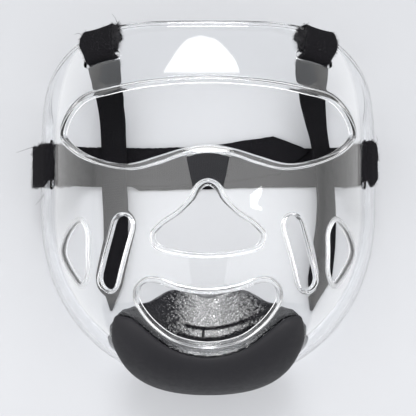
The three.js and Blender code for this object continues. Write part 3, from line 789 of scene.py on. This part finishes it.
def apply_modifiers(obj):
    mesh = bpy.data.meshes.new_from_object(obj.evaluated_get(bpy.context.evaluated_depsgraph_get()))
    obj.modifiers.clear()
    old, obj.data = obj.data, mesh
    bpy.data.meshes.remove(old)


inflate(chin_pad, 0.0025, 4.0, 0.0014)


# %% [markdown]
# The inflated cover is pushed back wherever it would touch the plastic, then subdivided once.
# The seams come after that, because remeshing would have removed them: points near a seam line
# are drawn in, so the leather puckers along it.

# %% Seams and folds
def outness(points):
    angle = np.arctan2(points[:, 0], points[:, 1])
    power = fullness(angle)
    return (np.hypot(points[:, 0], points[:, 1]) / footprint(angle)) ** power + (np.abs(points[:, 2]) / DEPTH) ** power


def under_dome(points):
    """About how deep each point lies under the outer face."""
    step = 1e-5
    normal = dome_normal(points)
    slope = (outness(points + normal * step) - outness(points - normal * step)) / (2 * step)
    return (1 - outness(points)) / slope, normal


subdivide = chin_pad.modifiers.new("subdivide", "SUBSURF")
subdivide.levels = subdivide.render_levels = 2
apply_modifiers(chin_pad)
pad_points = np.empty(len(chin_pad.data.vertices) * 3)
chin_pad.data.vertices.foreach_get("co", pad_points)
pad_points = pad_points.reshape(-1, 3) - [0, NOSE_Y, 0]
vertex_count = len(pad_points)
out = np.empty(vertex_count * 3)
chin_pad.data.vertex_normals.foreach_get("vector", out)
out = out.reshape(-1, 3)


def distance_to(path, points):
    """Distance in plan from each point to a line through the path's points."""
    best = np.full(len(points), 1.0)
    for a, b in zip(path, path[1:]):
        ab = b - a
        t = np.clip(((points - a) @ ab) / (ab @ ab), 0, 1)
        best = np.minimum(best, np.linalg.norm(points - (a + t[:, None] * ab), axis=1))
    return best


facing_up = np.clip(out[:, 2] * 1.6, 0, 1)
spine = (np.abs(pad_points[:, 0]) < 0.003) & (out[:, 2] > 0.7) & (np.abs(pad_points[:, 1] + 0.065) < 0.01)
level = np.polyval(np.polyfit(pad_points[spine, 1], pad_points[spine, 2], 2), pad_points[:, 1])
flatten_by = np.exp(-np.abs(pad_points[:, 0] / 0.026) ** 6) * facing_up * (np.abs(pad_points[:, 1] + 0.061) < 0.016)
pad_points[:, 2] += flatten_by * np.clip(level - pad_points[:, 2], -0.0015, 0.0015)
plan = pad_points[:, :2]
seams = [[(-12, -66.9), (-4, -68.2), (6, -67.9), (14, -66.2), (19.5, -64.4)],
         [(-2.4, -68.4), (-2.8, -72.6)],
         [(19.5, -64.4), (27, -61.2), (34, -57)]]
long_seam, short_seam, crease = (smooth_path(np.array([(x, y, 0) for x, y in seam]) / 1000, 0.001)[:, :2]
                                 for seam in seams)
fold = smooth_path(np.array([(-16, -72, 0), (-5, -74.6, 0), (7, -74.2, 0), (17, -71.4, 0), (25, -67.5, 0)]) / 1000,
                   0.001)[:, :2]
sink = (0.0016 * np.exp(-((distance_to(long_seam, plan) / 0.0006) ** 2))
        + 0.0012 * np.exp(-((distance_to(short_seam, plan) / 0.0005) ** 2))
        + 0.0007 * np.exp(-((distance_to(crease, plan) / 0.0012) ** 2))
        + 0.0014 * np.exp(-((distance_to(fold, plan) / 0.0014) ** 2)))
reach = np.hypot(plan[:, 0], plan[:, 1])
ripple = (0.00013 * np.sin(plan[:, 0] * 2300 + 900 * plan[:, 1] + 2.2 * np.sin(plan[:, 0] * 310))
          * np.exp(-(((reach - 0.0815) / 0.0035) ** 2)))
pad_points = pad_points - out * (sink * facing_up)[:, None] + out * (ripple * facing_up)[:, None]
depth, normal = under_dome(pad_points)
push = np.maximum(WALL + 0.0003 - depth, 0)
pad_points = pad_points - normal * push[:, None]
chin_pad.data.vertices.foreach_set("co", (pad_points + [0, NOSE_Y, 0]).ravel())
chin_pad.data.polygons.foreach_set("use_smooth", [True] * len(chin_pad.data.polygons))
chin_pad.data.update()
rubbed = np.exp(-((plan[:, 0] - 0.001) / np.where(plan[:, 0] < 0, 0.0195, 0.0275)) ** 2)
rubbed *= 1 - np.clip(sink / 0.0009, 0, 1)
chin_pad.data.attributes.new("rubbed", "FLOAT", "POINT").data.foreach_set("value", rubbed.astype(np.float32))
print("pad points:", vertex_count, "pushed back:", int((push > 0).sum()))

# %% [markdown]
# The leather shines. Small pebbles break the light into bright and dark specks, and broad
# creases bend it. The colour stays nearly black everywhere, and the look comes from roughness
# and bump.

# %% Pebbled leather
leather, tree, shader = new_material("pebbled_leather")
hide = use_group(tree, grain, [("Vector", object_place(tree))], Pebble_Scale=820.0, Crease_Scale=80.0)
tree.links.new(ramp(tree, hide.outputs["Tone"], (0.3, (0.006, 0.006, 0.007)), (0.7, (0.012, 0.012, 0.014))),
               shader.inputs["Base Color"])
tree.links.new(ramp(tree, hide.outputs["Creases"], (0.35, 0.2), (0.65, 0.34)), shader.inputs["Roughness"])
coarse = node(tree, "ShaderNodeBump", [("Height", hide.outputs["Creases"])], Strength=0.12, Distance=0.002)
fine = node(tree, "ShaderNodeBump", [("Height", hide.outputs["Height"]), ("Normal", coarse.outputs["Normal"])],
            Strength=1.0, Distance=0.0006)
tree.links.new(fine.outputs["Normal"], shader.inputs["Normal"])
rubbed_mask = node(tree, "ShaderNodeAttribute", attribute_name="rubbed")
lowest = node(tree, "ShaderNodeMath", [(0, hide.outputs["Height"])], operation="MULTIPLY_ADD")
lowest.inputs[1].default_value, lowest.inputs[2].default_value = 0.7, -0.3
pebble_tops = node(tree, "ShaderNodeMath", [(0, rubbed_mask.outputs["Fac"]), (1, lowest.outputs[0])],
                   operation="SUBTRACT")
tree.links.new(ramp(tree, pebble_tops.outputs[0], (0.2, 0.02), (0.7, 1.0)), shader.inputs["Coat Weight"])
shader.inputs["Specular IOR Level"].default_value = 0.06
shader.inputs["Coat Roughness"].default_value = 0.25
shader.inputs["Coat IOR"].default_value = 2.8
tree.links.new(fine.outputs["Normal"], shader.inputs["Coat Normal"])
chin_pad.data.materials.clear()
chin_pad.data.materials.append(leather)
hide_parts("chin_pad")
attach(chin_pad, "root")

# %% [markdown]
# ## Straps
# The straps are hook-and-loop webbing: a flat nylon tape with a fuzzy face. A tape bends and
# twists but never stretches, so each one is swept along stations that hold a point and the
# direction of its width. The cross-section is flat with round edges, and the far end is cut to
# a point. The tape's own UV map runs across and along it in metres, for its weave.

# %% Stations
TAPE = 0.0017
TIP = ((0, 0.08, 0.08), (21, 1, 1))


def lean_stations(rows):
    """Rows of x, y, z in millimetres, the lean and the aim of the width in degrees."""
    rows = np.array(rows, float)
    lean, aim = np.radians(rows[:, 3]), np.radians(rows[:, 4])
    width = np.stack([np.cos(lean) * np.cos(aim), np.cos(lean) * np.sin(aim), np.sin(lean)], axis=1)
    return np.hstack([rows[:, :3] / 1000, width])


def slot_stations(slot, side, rows):
    """Rows of the share of the way from slot to rim, the depth and the outward slide in mm."""
    upper, lower, _ = slot_ends(slot, side)
    middle = (upper + lower) / 2
    ends = wrap(np.array([upper, lower]))
    width = (ends[0] - ends[1]) / np.linalg.norm(ends[0] - ends[1])
    here, right, ahead = wrap(np.array([middle, middle + [1e-4, 0], middle + [0, 1e-4]]))
    away = np.array([(ahead - here) @ width, -((right - here) @ width)])
    away /= np.linalg.norm(away)
    away *= np.sign(away @ middle)
    to_rim = 0.0
    while True:
        spot = middle + away * (to_rim + 0.0005)
        spot_angle = math.atan2(spot[0], spot[1])
        if np.hypot(*spot) / SPREAD > tilt_at_height(spot_angle, rim_height(np.array(spot_angle))):
            break
        to_rim += 0.0005
    rows = np.array(rows, float)
    points = wrap(middle + away * rows[:, :1] * to_rim, rows[:, 1] / 1000)
    points = points - width * rows[:, 2:] / 1000
    return np.hstack([points, np.tile(width, (len(rows), 1))])


# %% [markdown]
# Every tape has the same section, 19 points across and rounded at both edges. Its first end may
# be cut to a shape: a table gives how much is missing at places across the width. Frayed edges
# and ends are moved in and out by a seeded random amount.

# %% Tape sweep
def sweep_tape(name, stations, width, pitch=0.0014, tip=TIP, arch=0.0, waist=((0, 1, 1), (1, 1, 1)),
               cut=((-1, 0), (1, 0)), ragged=0.0,
               fray=(0.0, 0.0), thick=TAPE, seed=1):
    stations = stations.copy()
    for k in range(len(stations) - 2, -1, -1):
        if stations[k, 3:6] @ stations[k + 1, 3:6] < 0:
            stations[k, 3:6] *= -1
    path = smooth_path(stations, pitch)
    points, across = path[:, :3], path[:, 3:6]
    along = np.gradient(points, axis=0)
    along /= np.linalg.norm(along, axis=1, keepdims=True)
    across -= (across * along).sum(axis=1, keepdims=True) * along
    across /= np.linalg.norm(across, axis=1, keepdims=True)
    up = np.cross(across, along)
    run = np.concatenate([[0], np.cumsum(np.linalg.norm(np.diff(points, axis=0), axis=1))])
    length = run[-1]
    rng = np.random.default_rng(seed)
    halves = [np.interp(length - run, np.array(tip)[:, 0] / 1000, np.array(tip)[:, k]) * width / 2 
              * np.interp(run, np.array(waist)[:, 0] / 1000, np.array(waist)[:, k]) for k in (1, 2)]
    left, right = (np.interp(run, np.linspace(0, length, 24), rng.normal(0, 0.00012, 24))
                   + rng.normal(0, 1, len(run)) * amount for amount in fray)
    flat = np.linspace(-1, 1, 19)
    place = np.concatenate([[-1.0], flat, [1.0], flat[::-1]])
    side = np.concatenate([[0.0], np.ones(19), [0.0], -np.ones(19)])
    inset = np.zeros(40)
    inset[[1, 19, 21, 39]] = 0.0004
    missing = np.interp(place, *np.array(cut, float).T) / 1000
    missing = missing + np.interp(place, flat, rng.uniform(0, ragged, 19))
    ends = 0.009
    spots = np.where(run[:, None] < ends, missing + run[:, None] * (ends - missing) / ends, run[:, None])
    columns = [np.interp(spots, run, values[:, k]) for values in (points, across, up) for k in range(3)]
    middle, aside, above = (np.stack(columns[k:k + 3], axis=-1) for k in (0, 3, 6))
    reach = place * np.where(place < 0, halves[0][:, None], halves[1][:, None])
    reach = reach + np.where(place < 0, -left[:, None], right[:, None]) * np.abs(place) ** 6
    reach = reach - np.sign(place) * inset
    lift = side * thick / 2 + arch * (1 - place**2) * width
    rings = middle + reach[..., None] * aside + lift[None, :, None] * above
    count = len(place)
    faces = grid_faces(len(run), count, closed=True)
    faces += [list(range(count))[::-1], [(len(run) - 1) * count + k for k in range(count)]]
    obj = make_object(name, rings.reshape(-1, 3), faces)
    flat_place = np.stack([np.tile(place * width / 2, len(run)), spots.ravel()], axis=1)
    corners = np.empty(len(obj.data.loops), int)
    obj.data.loops.foreach_get("vertex_index", corners)
    uv = obj.data.uv_layers.new(name="tape")
    uv.data.foreach_set("uv", flat_place[corners].ravel())
    check = bmesh.new()
    check.from_mesh(obj.data)
    if check.calc_volume(signed=True) < 0:
        bmesh.ops.reverse_faces(check, faces=check.faces)
        check.to_mesh(obj.data)
    check.free()
    print(name, "length", round(float(length), 4), "m, faces", len(obj.data.polygons))
    return obj, float(length)


# %% [markdown]
# The crown straps are looped round the brow edge: each comes from its sewn end inside the shell,
# goes over the rim, lies on the brow band and dives through its slot. Inside, it drops to the
# table and lies there on one edge, because stiff tape keeps its curl. A short frayed ply of the
# loop's sewn end shows beside the top one, towards the forehead's middle.

# %% Crown strap routes
CROWN_LOOP = [(0.3, 5.4, 1), (0.6, 6.4, 1.6), (0.86, 9.2, 2.2), (1.0, 9.4, 2.8), (1.08, 5.2, 3.4),
              (1.05, 0.5, 3.6), (0.91, -2.2, 3.2), (0.6, -2.5, 2.2), (0.24, -2.2, 0.8), (0.08, -1.6, 0.2),
              (0, 0.6, 0), (0.01, 4, 0)]
CROWN_LEFT = [(-59.6, 80, 66, 30, 4), (-60.2, 74.5, 50, 36, 2), (-60, 66, 32, 35, 0),
              (-59.4, 54, 20, 32, -2), (-59.2, 38, 14, 31, -4), (-59.2, 20, 11.6, 29, -4),
              (-58.6, 0, 7.4, 28, -2), (-58.6, -25, 5, 20, 2), (-60, -48, 3.2, 10, 5),
              (-62.4, -66, 1.6, 3, 7)]
CROWN_RIGHT = [(59.6, 80.3, 66.3, -28, -5), (62, 74.5, 50, -46, -4), (64.6, 64, 32, -50, -6),
               (68, 50, 20.5, -51, -9), (71.6, 30, 16, -50, -10), (74, 10, 13.1, -50, -6),
               (74.4, -12, 9.2, -44, 3), (72, -34, 6, -28, 12), (69.4, -50, 4, -16, 12),
               (66.6, -66, 2, -4, 10)]
UNDER_PLY = {"left": [(0.16, -0.72, -2.6), (0.4, -0.78, -2.6), (0.7, -0.8, -2.2), (0.9, -0.8, -1.6)],
             "right": [(0.14, -0.72, -2.6), (0.35, -0.78, -2.6), (0.55, -0.8, -2.4), (0.74, -0.8, -2.2)]}
crown_left, crown_left_length = sweep_tape(
    "crown_tape_left", np.vstack([slot_stations(CROWN_SLOT, -1, CROWN_LOOP), lean_stations(CROWN_LEFT)]),
    0.019, seed=3, arch=0.02, tip=((0, 0.08, 0.08), (9, 0.5, 0.3), (17, 0.72, 0.56), (50, 0.92, 0.92), (70, 1, 1)),
    waist=((0, 1, 1), (26, 0.9, 1), (30, 1.1, 1), (32.5, 1.24, 1), (38, 1.26, 1), (42, 1.12, 1), (46, 1, 1)))
crown_right, crown_right_length = sweep_tape(
    "crown_tape_right", np.vstack([slot_stations(CROWN_SLOT, 1, CROWN_LOOP), lean_stations(CROWN_RIGHT)]),
    0.019, seed=4, arch=0.02, tip=((0, 0.08, 0.08), (9, 0.42, 0.42), (21, 0.8, 1), (45, 1, 1)),
    waist=((0, 1, 1), (22, 1, 1), (26, 0.82, 1.06), (30, 0.76, 1.2), (34, 0.8, 1.34), (38, 0.9, 1.34),
           (42, 1, 1.26), (47, 1, 1.05), (52, 1, 1)))
plies = [sweep_tape("crown_ply_" + name, slot_stations(CROWN_SLOT, side, UNDER_PLY[name]), 0.0165, pitch=0.0007,
                    tip=((0, 1, 1), (1, 1, 1)), cut=((-1, 0.6), (0, 0), (0.6, 1.6), (1, 0.4)), ragged=0.0014,
                    fray=(0.0006, 0.0006), thick=0.001, seed=seed)[0]
         for name, side, seed in (("left", -1, 11), ("right", 1, 12))]

# %% [markdown]
# The back straps are wider. Each ends in a raw cut tab outside the shell, passes through its
# side slot and lies across the table inside, one over the other. The tabs were cut by hand, so
# one has a nick and a slanted corner, and the other a slanted corner.

# %% Back strap routes
BACK_LOOP = [(0.42, -5, 0), (0.28, -4.5, 0), (0.12, -3.6, 0), (0.03, -2.9, 0), (0.002, -1, 0),
             (-0.004, 1.5, 0), (-0.006, 4.2, 0)]
SHORT_LOOP = [(0.21, -4.2, 0), (0.12, -3.6, 0), *BACK_LOOP[3:]]
BACK_LEFT = [(-86.2, 25.6, 44, 0, 90), (-84, 25.8, 27, 0, 90), (-81.4, 26, 13, 0, 90),
             (-74.5, 26, 4.5, 0, 90), (-64, 26, 3.7, 0, 90), (-20, 26, 3.45, 0, 91), (8, 28, 3.45, 0, 97),
             (36, 32.3, 3.45, 0, 98), (64, 36.4, 3.45, 0, 98)]
BACK_RIGHT = [(86.2, 25.4, 44, 0, 90), (84.8, 25.4, 27, 0, 90), (83.8, 25.6, 9, 0, 90),
              (79, 25.7, 3.1, 0, 90), (71, 25.7, 1.6, 0, 90), (56, 25.6, 1.25, 0, 91), (10, 24.9, 1.2, 0, 92),
              (-30, 23.8, 1.2, 0, 92), (-65, 22.6, 1.2, 0, 92)]
back_left, back_left_length = sweep_tape(
    "back_tape_left", np.vstack([slot_stations(BACK_SLOT, -1, BACK_LOOP), lean_stations(BACK_LEFT)]),
    0.025, cut=((-1, 0), (0.8, 0.4), (1, 0.8)), ragged=0.0007, fray=(0.0001, 0.0001),
    waist=((0, 0.96, 1), (5.5, 1, 1), (8, 1, 0.88), (11, 1, 0.98), (14, 1, 1.04), (20.5, 1, 1.06), (27.3, 0.62, 1.06),
           (29, 0.8, 1.02), (32, 1, 1)), seed=5)
back_right, back_right_length = sweep_tape(
    "back_tape_right", np.vstack([slot_stations(BACK_SLOT, 1, SHORT_LOOP), lean_stations(BACK_RIGHT)]),
    0.025, cut=((-1, 0.4), (0, 0.8), (0.7, 0.2), (1, 1.8)), ragged=0.0014, fray=(0.0001, 0.0001),
    waist=((0, 0.68, 0.98), (2, 0.76, 1.1), (9.5, 1.02, 1.18), (13, 0.7, 1.16), (15.5, 0.8, 1.08), (19, 1, 1)), seed=6)

# %% [markdown]
# The tape is woven nylon with a brushed face. Up close it shows fine ribs across its length and
# a nap of tiny loops that makes the black uneven. The weave group reads the tape's own UV map,
# so the ribs follow every bend.

# %% Webbing
weave, inlet, outlet = new_group("tape_weave", [
    ("Vector", "NodeSocketVector", None), ("Rib Pitch", "NodeSocketFloat", 0.0011)],
    [("Height", "NodeSocketFloat"), ("Nap", "NodeSocketFloat")])
turns_per_metre = node(weave, "ShaderNodeMath", [(1, inlet.outputs["Rib Pitch"])], operation="DIVIDE")
turns_per_metre.inputs[0].default_value = 1.0
scaled = node(weave, "ShaderNodeVectorMath", [(0, inlet.outputs["Vector"]), (3, turns_per_metre.outputs[0])], operation="SCALE")
ribs = node(weave, "ShaderNodeTexWave", [("Vector", scaled.outputs[0])], bands_direction="Y", Scale=0.3183, Distortion=1.2,
            Detail=1.0, Detail_Scale=1.0)
nap = node(weave, "ShaderNodeTexNoise", [("Vector", scaled.outputs[0])], Scale=1.6, Detail=5.0, Roughness=0.75)
faint = node(weave, "ShaderNodeMath", [(0, ribs.outputs["Fac"])], operation="MULTIPLY")
faint.inputs[1].default_value = 0.12
height = node(weave, "ShaderNodeMath", [(0, faint.outputs[0]), (1, nap.outputs["Fac"])], operation="ADD")
weave.links.new(height.outputs[0], outlet.inputs["Height"])
weave.links.new(nap.outputs["Fac"], outlet.inputs["Nap"])

webbing, tree, shader = new_material("black_webbing")
tape_map = node(tree, "ShaderNodeUVMap", uv_map="tape")
cloth_weave = use_group(tree, weave, [("Vector", tape_map.outputs["UV"])])
tree.links.new(ramp(tree, cloth_weave.outputs["Nap"], (0.36, (0.0025, 0.0025, 0.003)), (0.52, (0.0075, 0.0072, 0.0085)),
                    (0.7, (0.028, 0.027, 0.031))), shader.inputs["Base Color"])
shader.inputs["Roughness"].default_value = 0.95
shader.inputs["Specular IOR Level"].default_value = 0.06
bump = node(tree, "ShaderNodeBump", [("Height", cloth_weave.outputs["Height"])], Strength=0.6, Distance=0.0005)
tree.links.new(bump.outputs["Normal"], shader.inputs["Normal"])

# %% [markdown]
# Cut webbing frays. Single filaments stand out from the selvages and the raw ends, and a few long
# ones hang loose. The short ones are a repeat, so a Geometry Nodes group scatters them over the
# faces that carry a fray mask, from a fixed seed. The long ones are drawn one by one.

# %% Fibre group
fibres = bpy.data.node_groups.new("frayed_fibres", "GeometryNodeTree")
for label, kind, value in (("Geometry", "NodeSocketGeometry", None), ("Density", "NodeSocketFloat", 4e6),
                           ("Length", "NodeSocketFloat", 0.0012), ("Radius", "NodeSocketFloat", 0.00005),
                           ("Seed", "NodeSocketInt", 1), ("Material", "NodeSocketMaterial", None)):
    socket = fibres.interface.new_socket(label, in_out="INPUT", socket_type=kind)
    if value is not None:
        socket.default_value = value
fibres.interface.new_socket("Geometry", in_out="OUTPUT", socket_type="NodeSocketGeometry")
inlet, outlet = fibres.nodes.new("NodeGroupInput"), fibres.nodes.new("NodeGroupOutput")
mask = node(fibres, "GeometryNodeInputNamedAttribute", data_type="FLOAT")
mask.inputs["Name"].default_value = "fray"
density = node(fibres, "ShaderNodeMath", [(0, mask.outputs["Attribute"]), (1, inlet.outputs["Density"])],
               operation="MULTIPLY")
roots = node(fibres, "GeometryNodeDistributePointsOnFaces",
             [("Mesh", inlet.outputs["Geometry"]), ("Density", density.outputs[0]), ("Seed", inlet.outputs["Seed"])],
             distribute_method="RANDOM")
filament = node(fibres, "GeometryNodeCurveQuadraticBezier", Resolution=3, Start=(0, 0, 0), Middle=(0, 0, 0.6),
                End=(0.6, 0, 1))
sized = node(fibres, "GeometryNodeTransform", [("Geometry", filament.outputs[0])])
stretch = node(fibres, "ShaderNodeCombineXYZ", [(k, inlet.outputs["Length"]) for k in range(3)])
fibres.links.new(stretch.outputs[0], sized.inputs["Scale"])
section = node(fibres, "GeometryNodeCurvePrimitiveCircle", [("Radius", inlet.outputs["Radius"])], Resolution=3)
hair = node(fibres, "GeometryNodeCurveToMesh", [("Curve", sized.outputs[0]), ("Profile Curve", section.outputs[0])])
tilt_by = node(fibres, "FunctionNodeRandomValue", [("Seed", inlet.outputs["Seed"])], data_type="FLOAT_VECTOR")
tilt_by.inputs[0].default_value, tilt_by.inputs[1].default_value = (-1.1, -1.1, -3.1), (1.1, 1.1, 3.1)
turned_by = node(fibres, "FunctionNodeRotateRotation", [("Rotation", roots.outputs["Rotation"]),
                                                         ("Rotate By", tilt_by.outputs[0])], rotation_space="LOCAL")
size_by = node(fibres, "FunctionNodeRandomValue", [("Seed", inlet.outputs["Seed"])], data_type="FLOAT")
size_by.inputs[2].default_value, size_by.inputs[3].default_value = 0.4, 1.3
scattered = node(fibres, "GeometryNodeInstanceOnPoints",
                 [("Points", roots.outputs["Points"]), ("Instance", hair.outputs[0]),
                  ("Rotation", turned_by.outputs[0]), ("Scale", size_by.outputs[1])])
real = node(fibres, "GeometryNodeRealizeInstances", [(0, scattered.outputs[0])])
dyed = node(fibres, "GeometryNodeSetMaterial", [("Geometry", real.outputs[0]), ("Material", inlet.outputs["Material"])])
fibres.links.new(dyed.outputs[0], outlet.inputs[0])


# %% Fibres on the tapes
def fray_mask(obj, width, raw_end, selvage, surface=0.0):
    corners = np.empty(len(obj.data.loops), int)
    obj.data.loops.foreach_get("vertex_index", corners)
    uv = np.empty(len(corners) * 2, np.float32)
    obj.data.uv_layers["tape"].data.foreach_get("uv", uv)
    flat_place = np.zeros((len(obj.data.vertices), 2))
    flat_place[corners] = uv.reshape(-1, 2)
    side = np.abs(flat_place[:, 0]) / (width / 2)
    mask = np.full(len(side), surface)
    mask[side > 0.97] = selvage
    mask[flat_place[:, 1] < 0.0008] = raw_end
    mask[flat_place[:, 1] > 0.06] = 0
    obj.data.attributes.new("fray", "FLOAT", "POINT").data.foreach_set("value", mask.astype(np.float32))


def grow_fibres(name, tape, material, density, length, seed):
    holder = bpy.data.objects.new(name, tape.data.copy())
    bpy.context.scene.collection.objects.link(holder)
    modifier = holder.modifiers.new("fibres", "NODES")
    modifier.node_group = fibres
    keys = {item.name: item.identifier for item in fibres.interface.items_tree if item.in_out == "INPUT"}
    for label, value in (("Density", density), ("Length", length), ("Seed", seed), ("Material", material)):
        modifier[keys[label]] = value
    apply_modifiers(holder)
    print(name, "faces", len(holder.data.polygons))
    return holder


def loose_threads(name, routes, radius=0.00014):
    points, faces, start = [], [], 0
    for route in routes:
        path = smooth_path(np.array(route, float) / 1000, 0.0007)
        along = np.gradient(path, axis=0)
        along /= np.linalg.norm(along, axis=1, keepdims=True)
        side = np.cross(along, [0.31, 0.2, 0.93])
        side /= np.linalg.norm(side, axis=1, keepdims=True)
        lift = np.cross(along, side)
        slim = radius * np.linspace(1, 0.45, len(path))[:, None]
        for turn in np.linspace(0, 2 * math.pi, 6, endpoint=False):
            points.append(path + slim * (math.cos(turn) * side + math.sin(turn) * lift))
        ring = np.stack(points[-6:], axis=1).reshape(-1, 3)
        points = points[:-6] + [ring]
        faces += grid_faces(len(path), 6, start, closed=True)
        faces += [[start + k for k in range(6)][::-1], [start + (len(path) - 1) * 6 + k for k in range(6)]]
        start += len(ring)
    obj = make_object(name, np.vstack(points), faces)
    face_out(obj)
    return obj


nylon, tree, shader = new_material("nylon_thread")
shader.inputs["Base Color"].default_value = (0.03, 0.029, 0.033, 1)
shader.inputs["Roughness"].default_value = 0.6
THREADS = {
    "crown_left": [[(-71.5, 98.5, 75), (-74, 99.8, 75), (-76.6, 99.4, 73)],
                   [(-51.6, 105, 75), (-53, 108.4, 77), (-54.6, 110.4, 78)],
                   [(-53.5, 96, 84), (-51, 98, 85), (-48.6, 94.6, 83.5)]],
    "crown_right": [[(52.6, 93.6, 84), (50.4, 96, 85), (48.8, 95, 84)]],
    "back_left": [[(-102, 37.4, 44), (-108, 36, 40), (-116, 33.6, 37)], [(-98.6, 9, 40), (-101.4, 5.4, 37), (-105, 1.8, 34)],
                  [(-97, 12.2, 45), (-102, 12.9, 44), (-106.4, 13.6, 42)]],
    "back_right": [[(99.6, 38, 46), (101.2, 40.4, 47), (100.2, 43, 48)]],
}
tapes = ((crown_left, "crown_left", 0.019, crown_left_length, [plies[0]]),
         (crown_right, "crown_right", 0.019, crown_right_length, [plies[1]]),
         (back_left, "back_left", 0.025, back_left_length, []),
         (back_right, "back_right", 0.025, back_right_length, []))
for number, (tape, name, width, length, extras) in enumerate(tapes):
    for piece in (tape, *extras):
        piece.data.materials.append(webbing)
    fray_mask(tape, width, 1.0, 0.35)
    fuzz = [grow_fibres(name + "_fibres", tape, nylon, 9e6, 0.0011, 20 + number)]
    for ply in extras:
        fray_mask(ply, 0.0165, 1.0, 1.0, 0.3)
        fuzz.append(grow_fibres(name + "_ply_fibres", ply, nylon, 14e6, 0.0016, 30 + number))
    threads = loose_threads(name + "_threads", THREADS[name])
    threads.data.materials.append(nylon)
    extras = [*extras, *fuzz, threads]
    side = name.split("_")
    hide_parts(f"{side[0]}_strap_{side[1]}")
    for piece in (tape, *extras):
        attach(piece, "root")
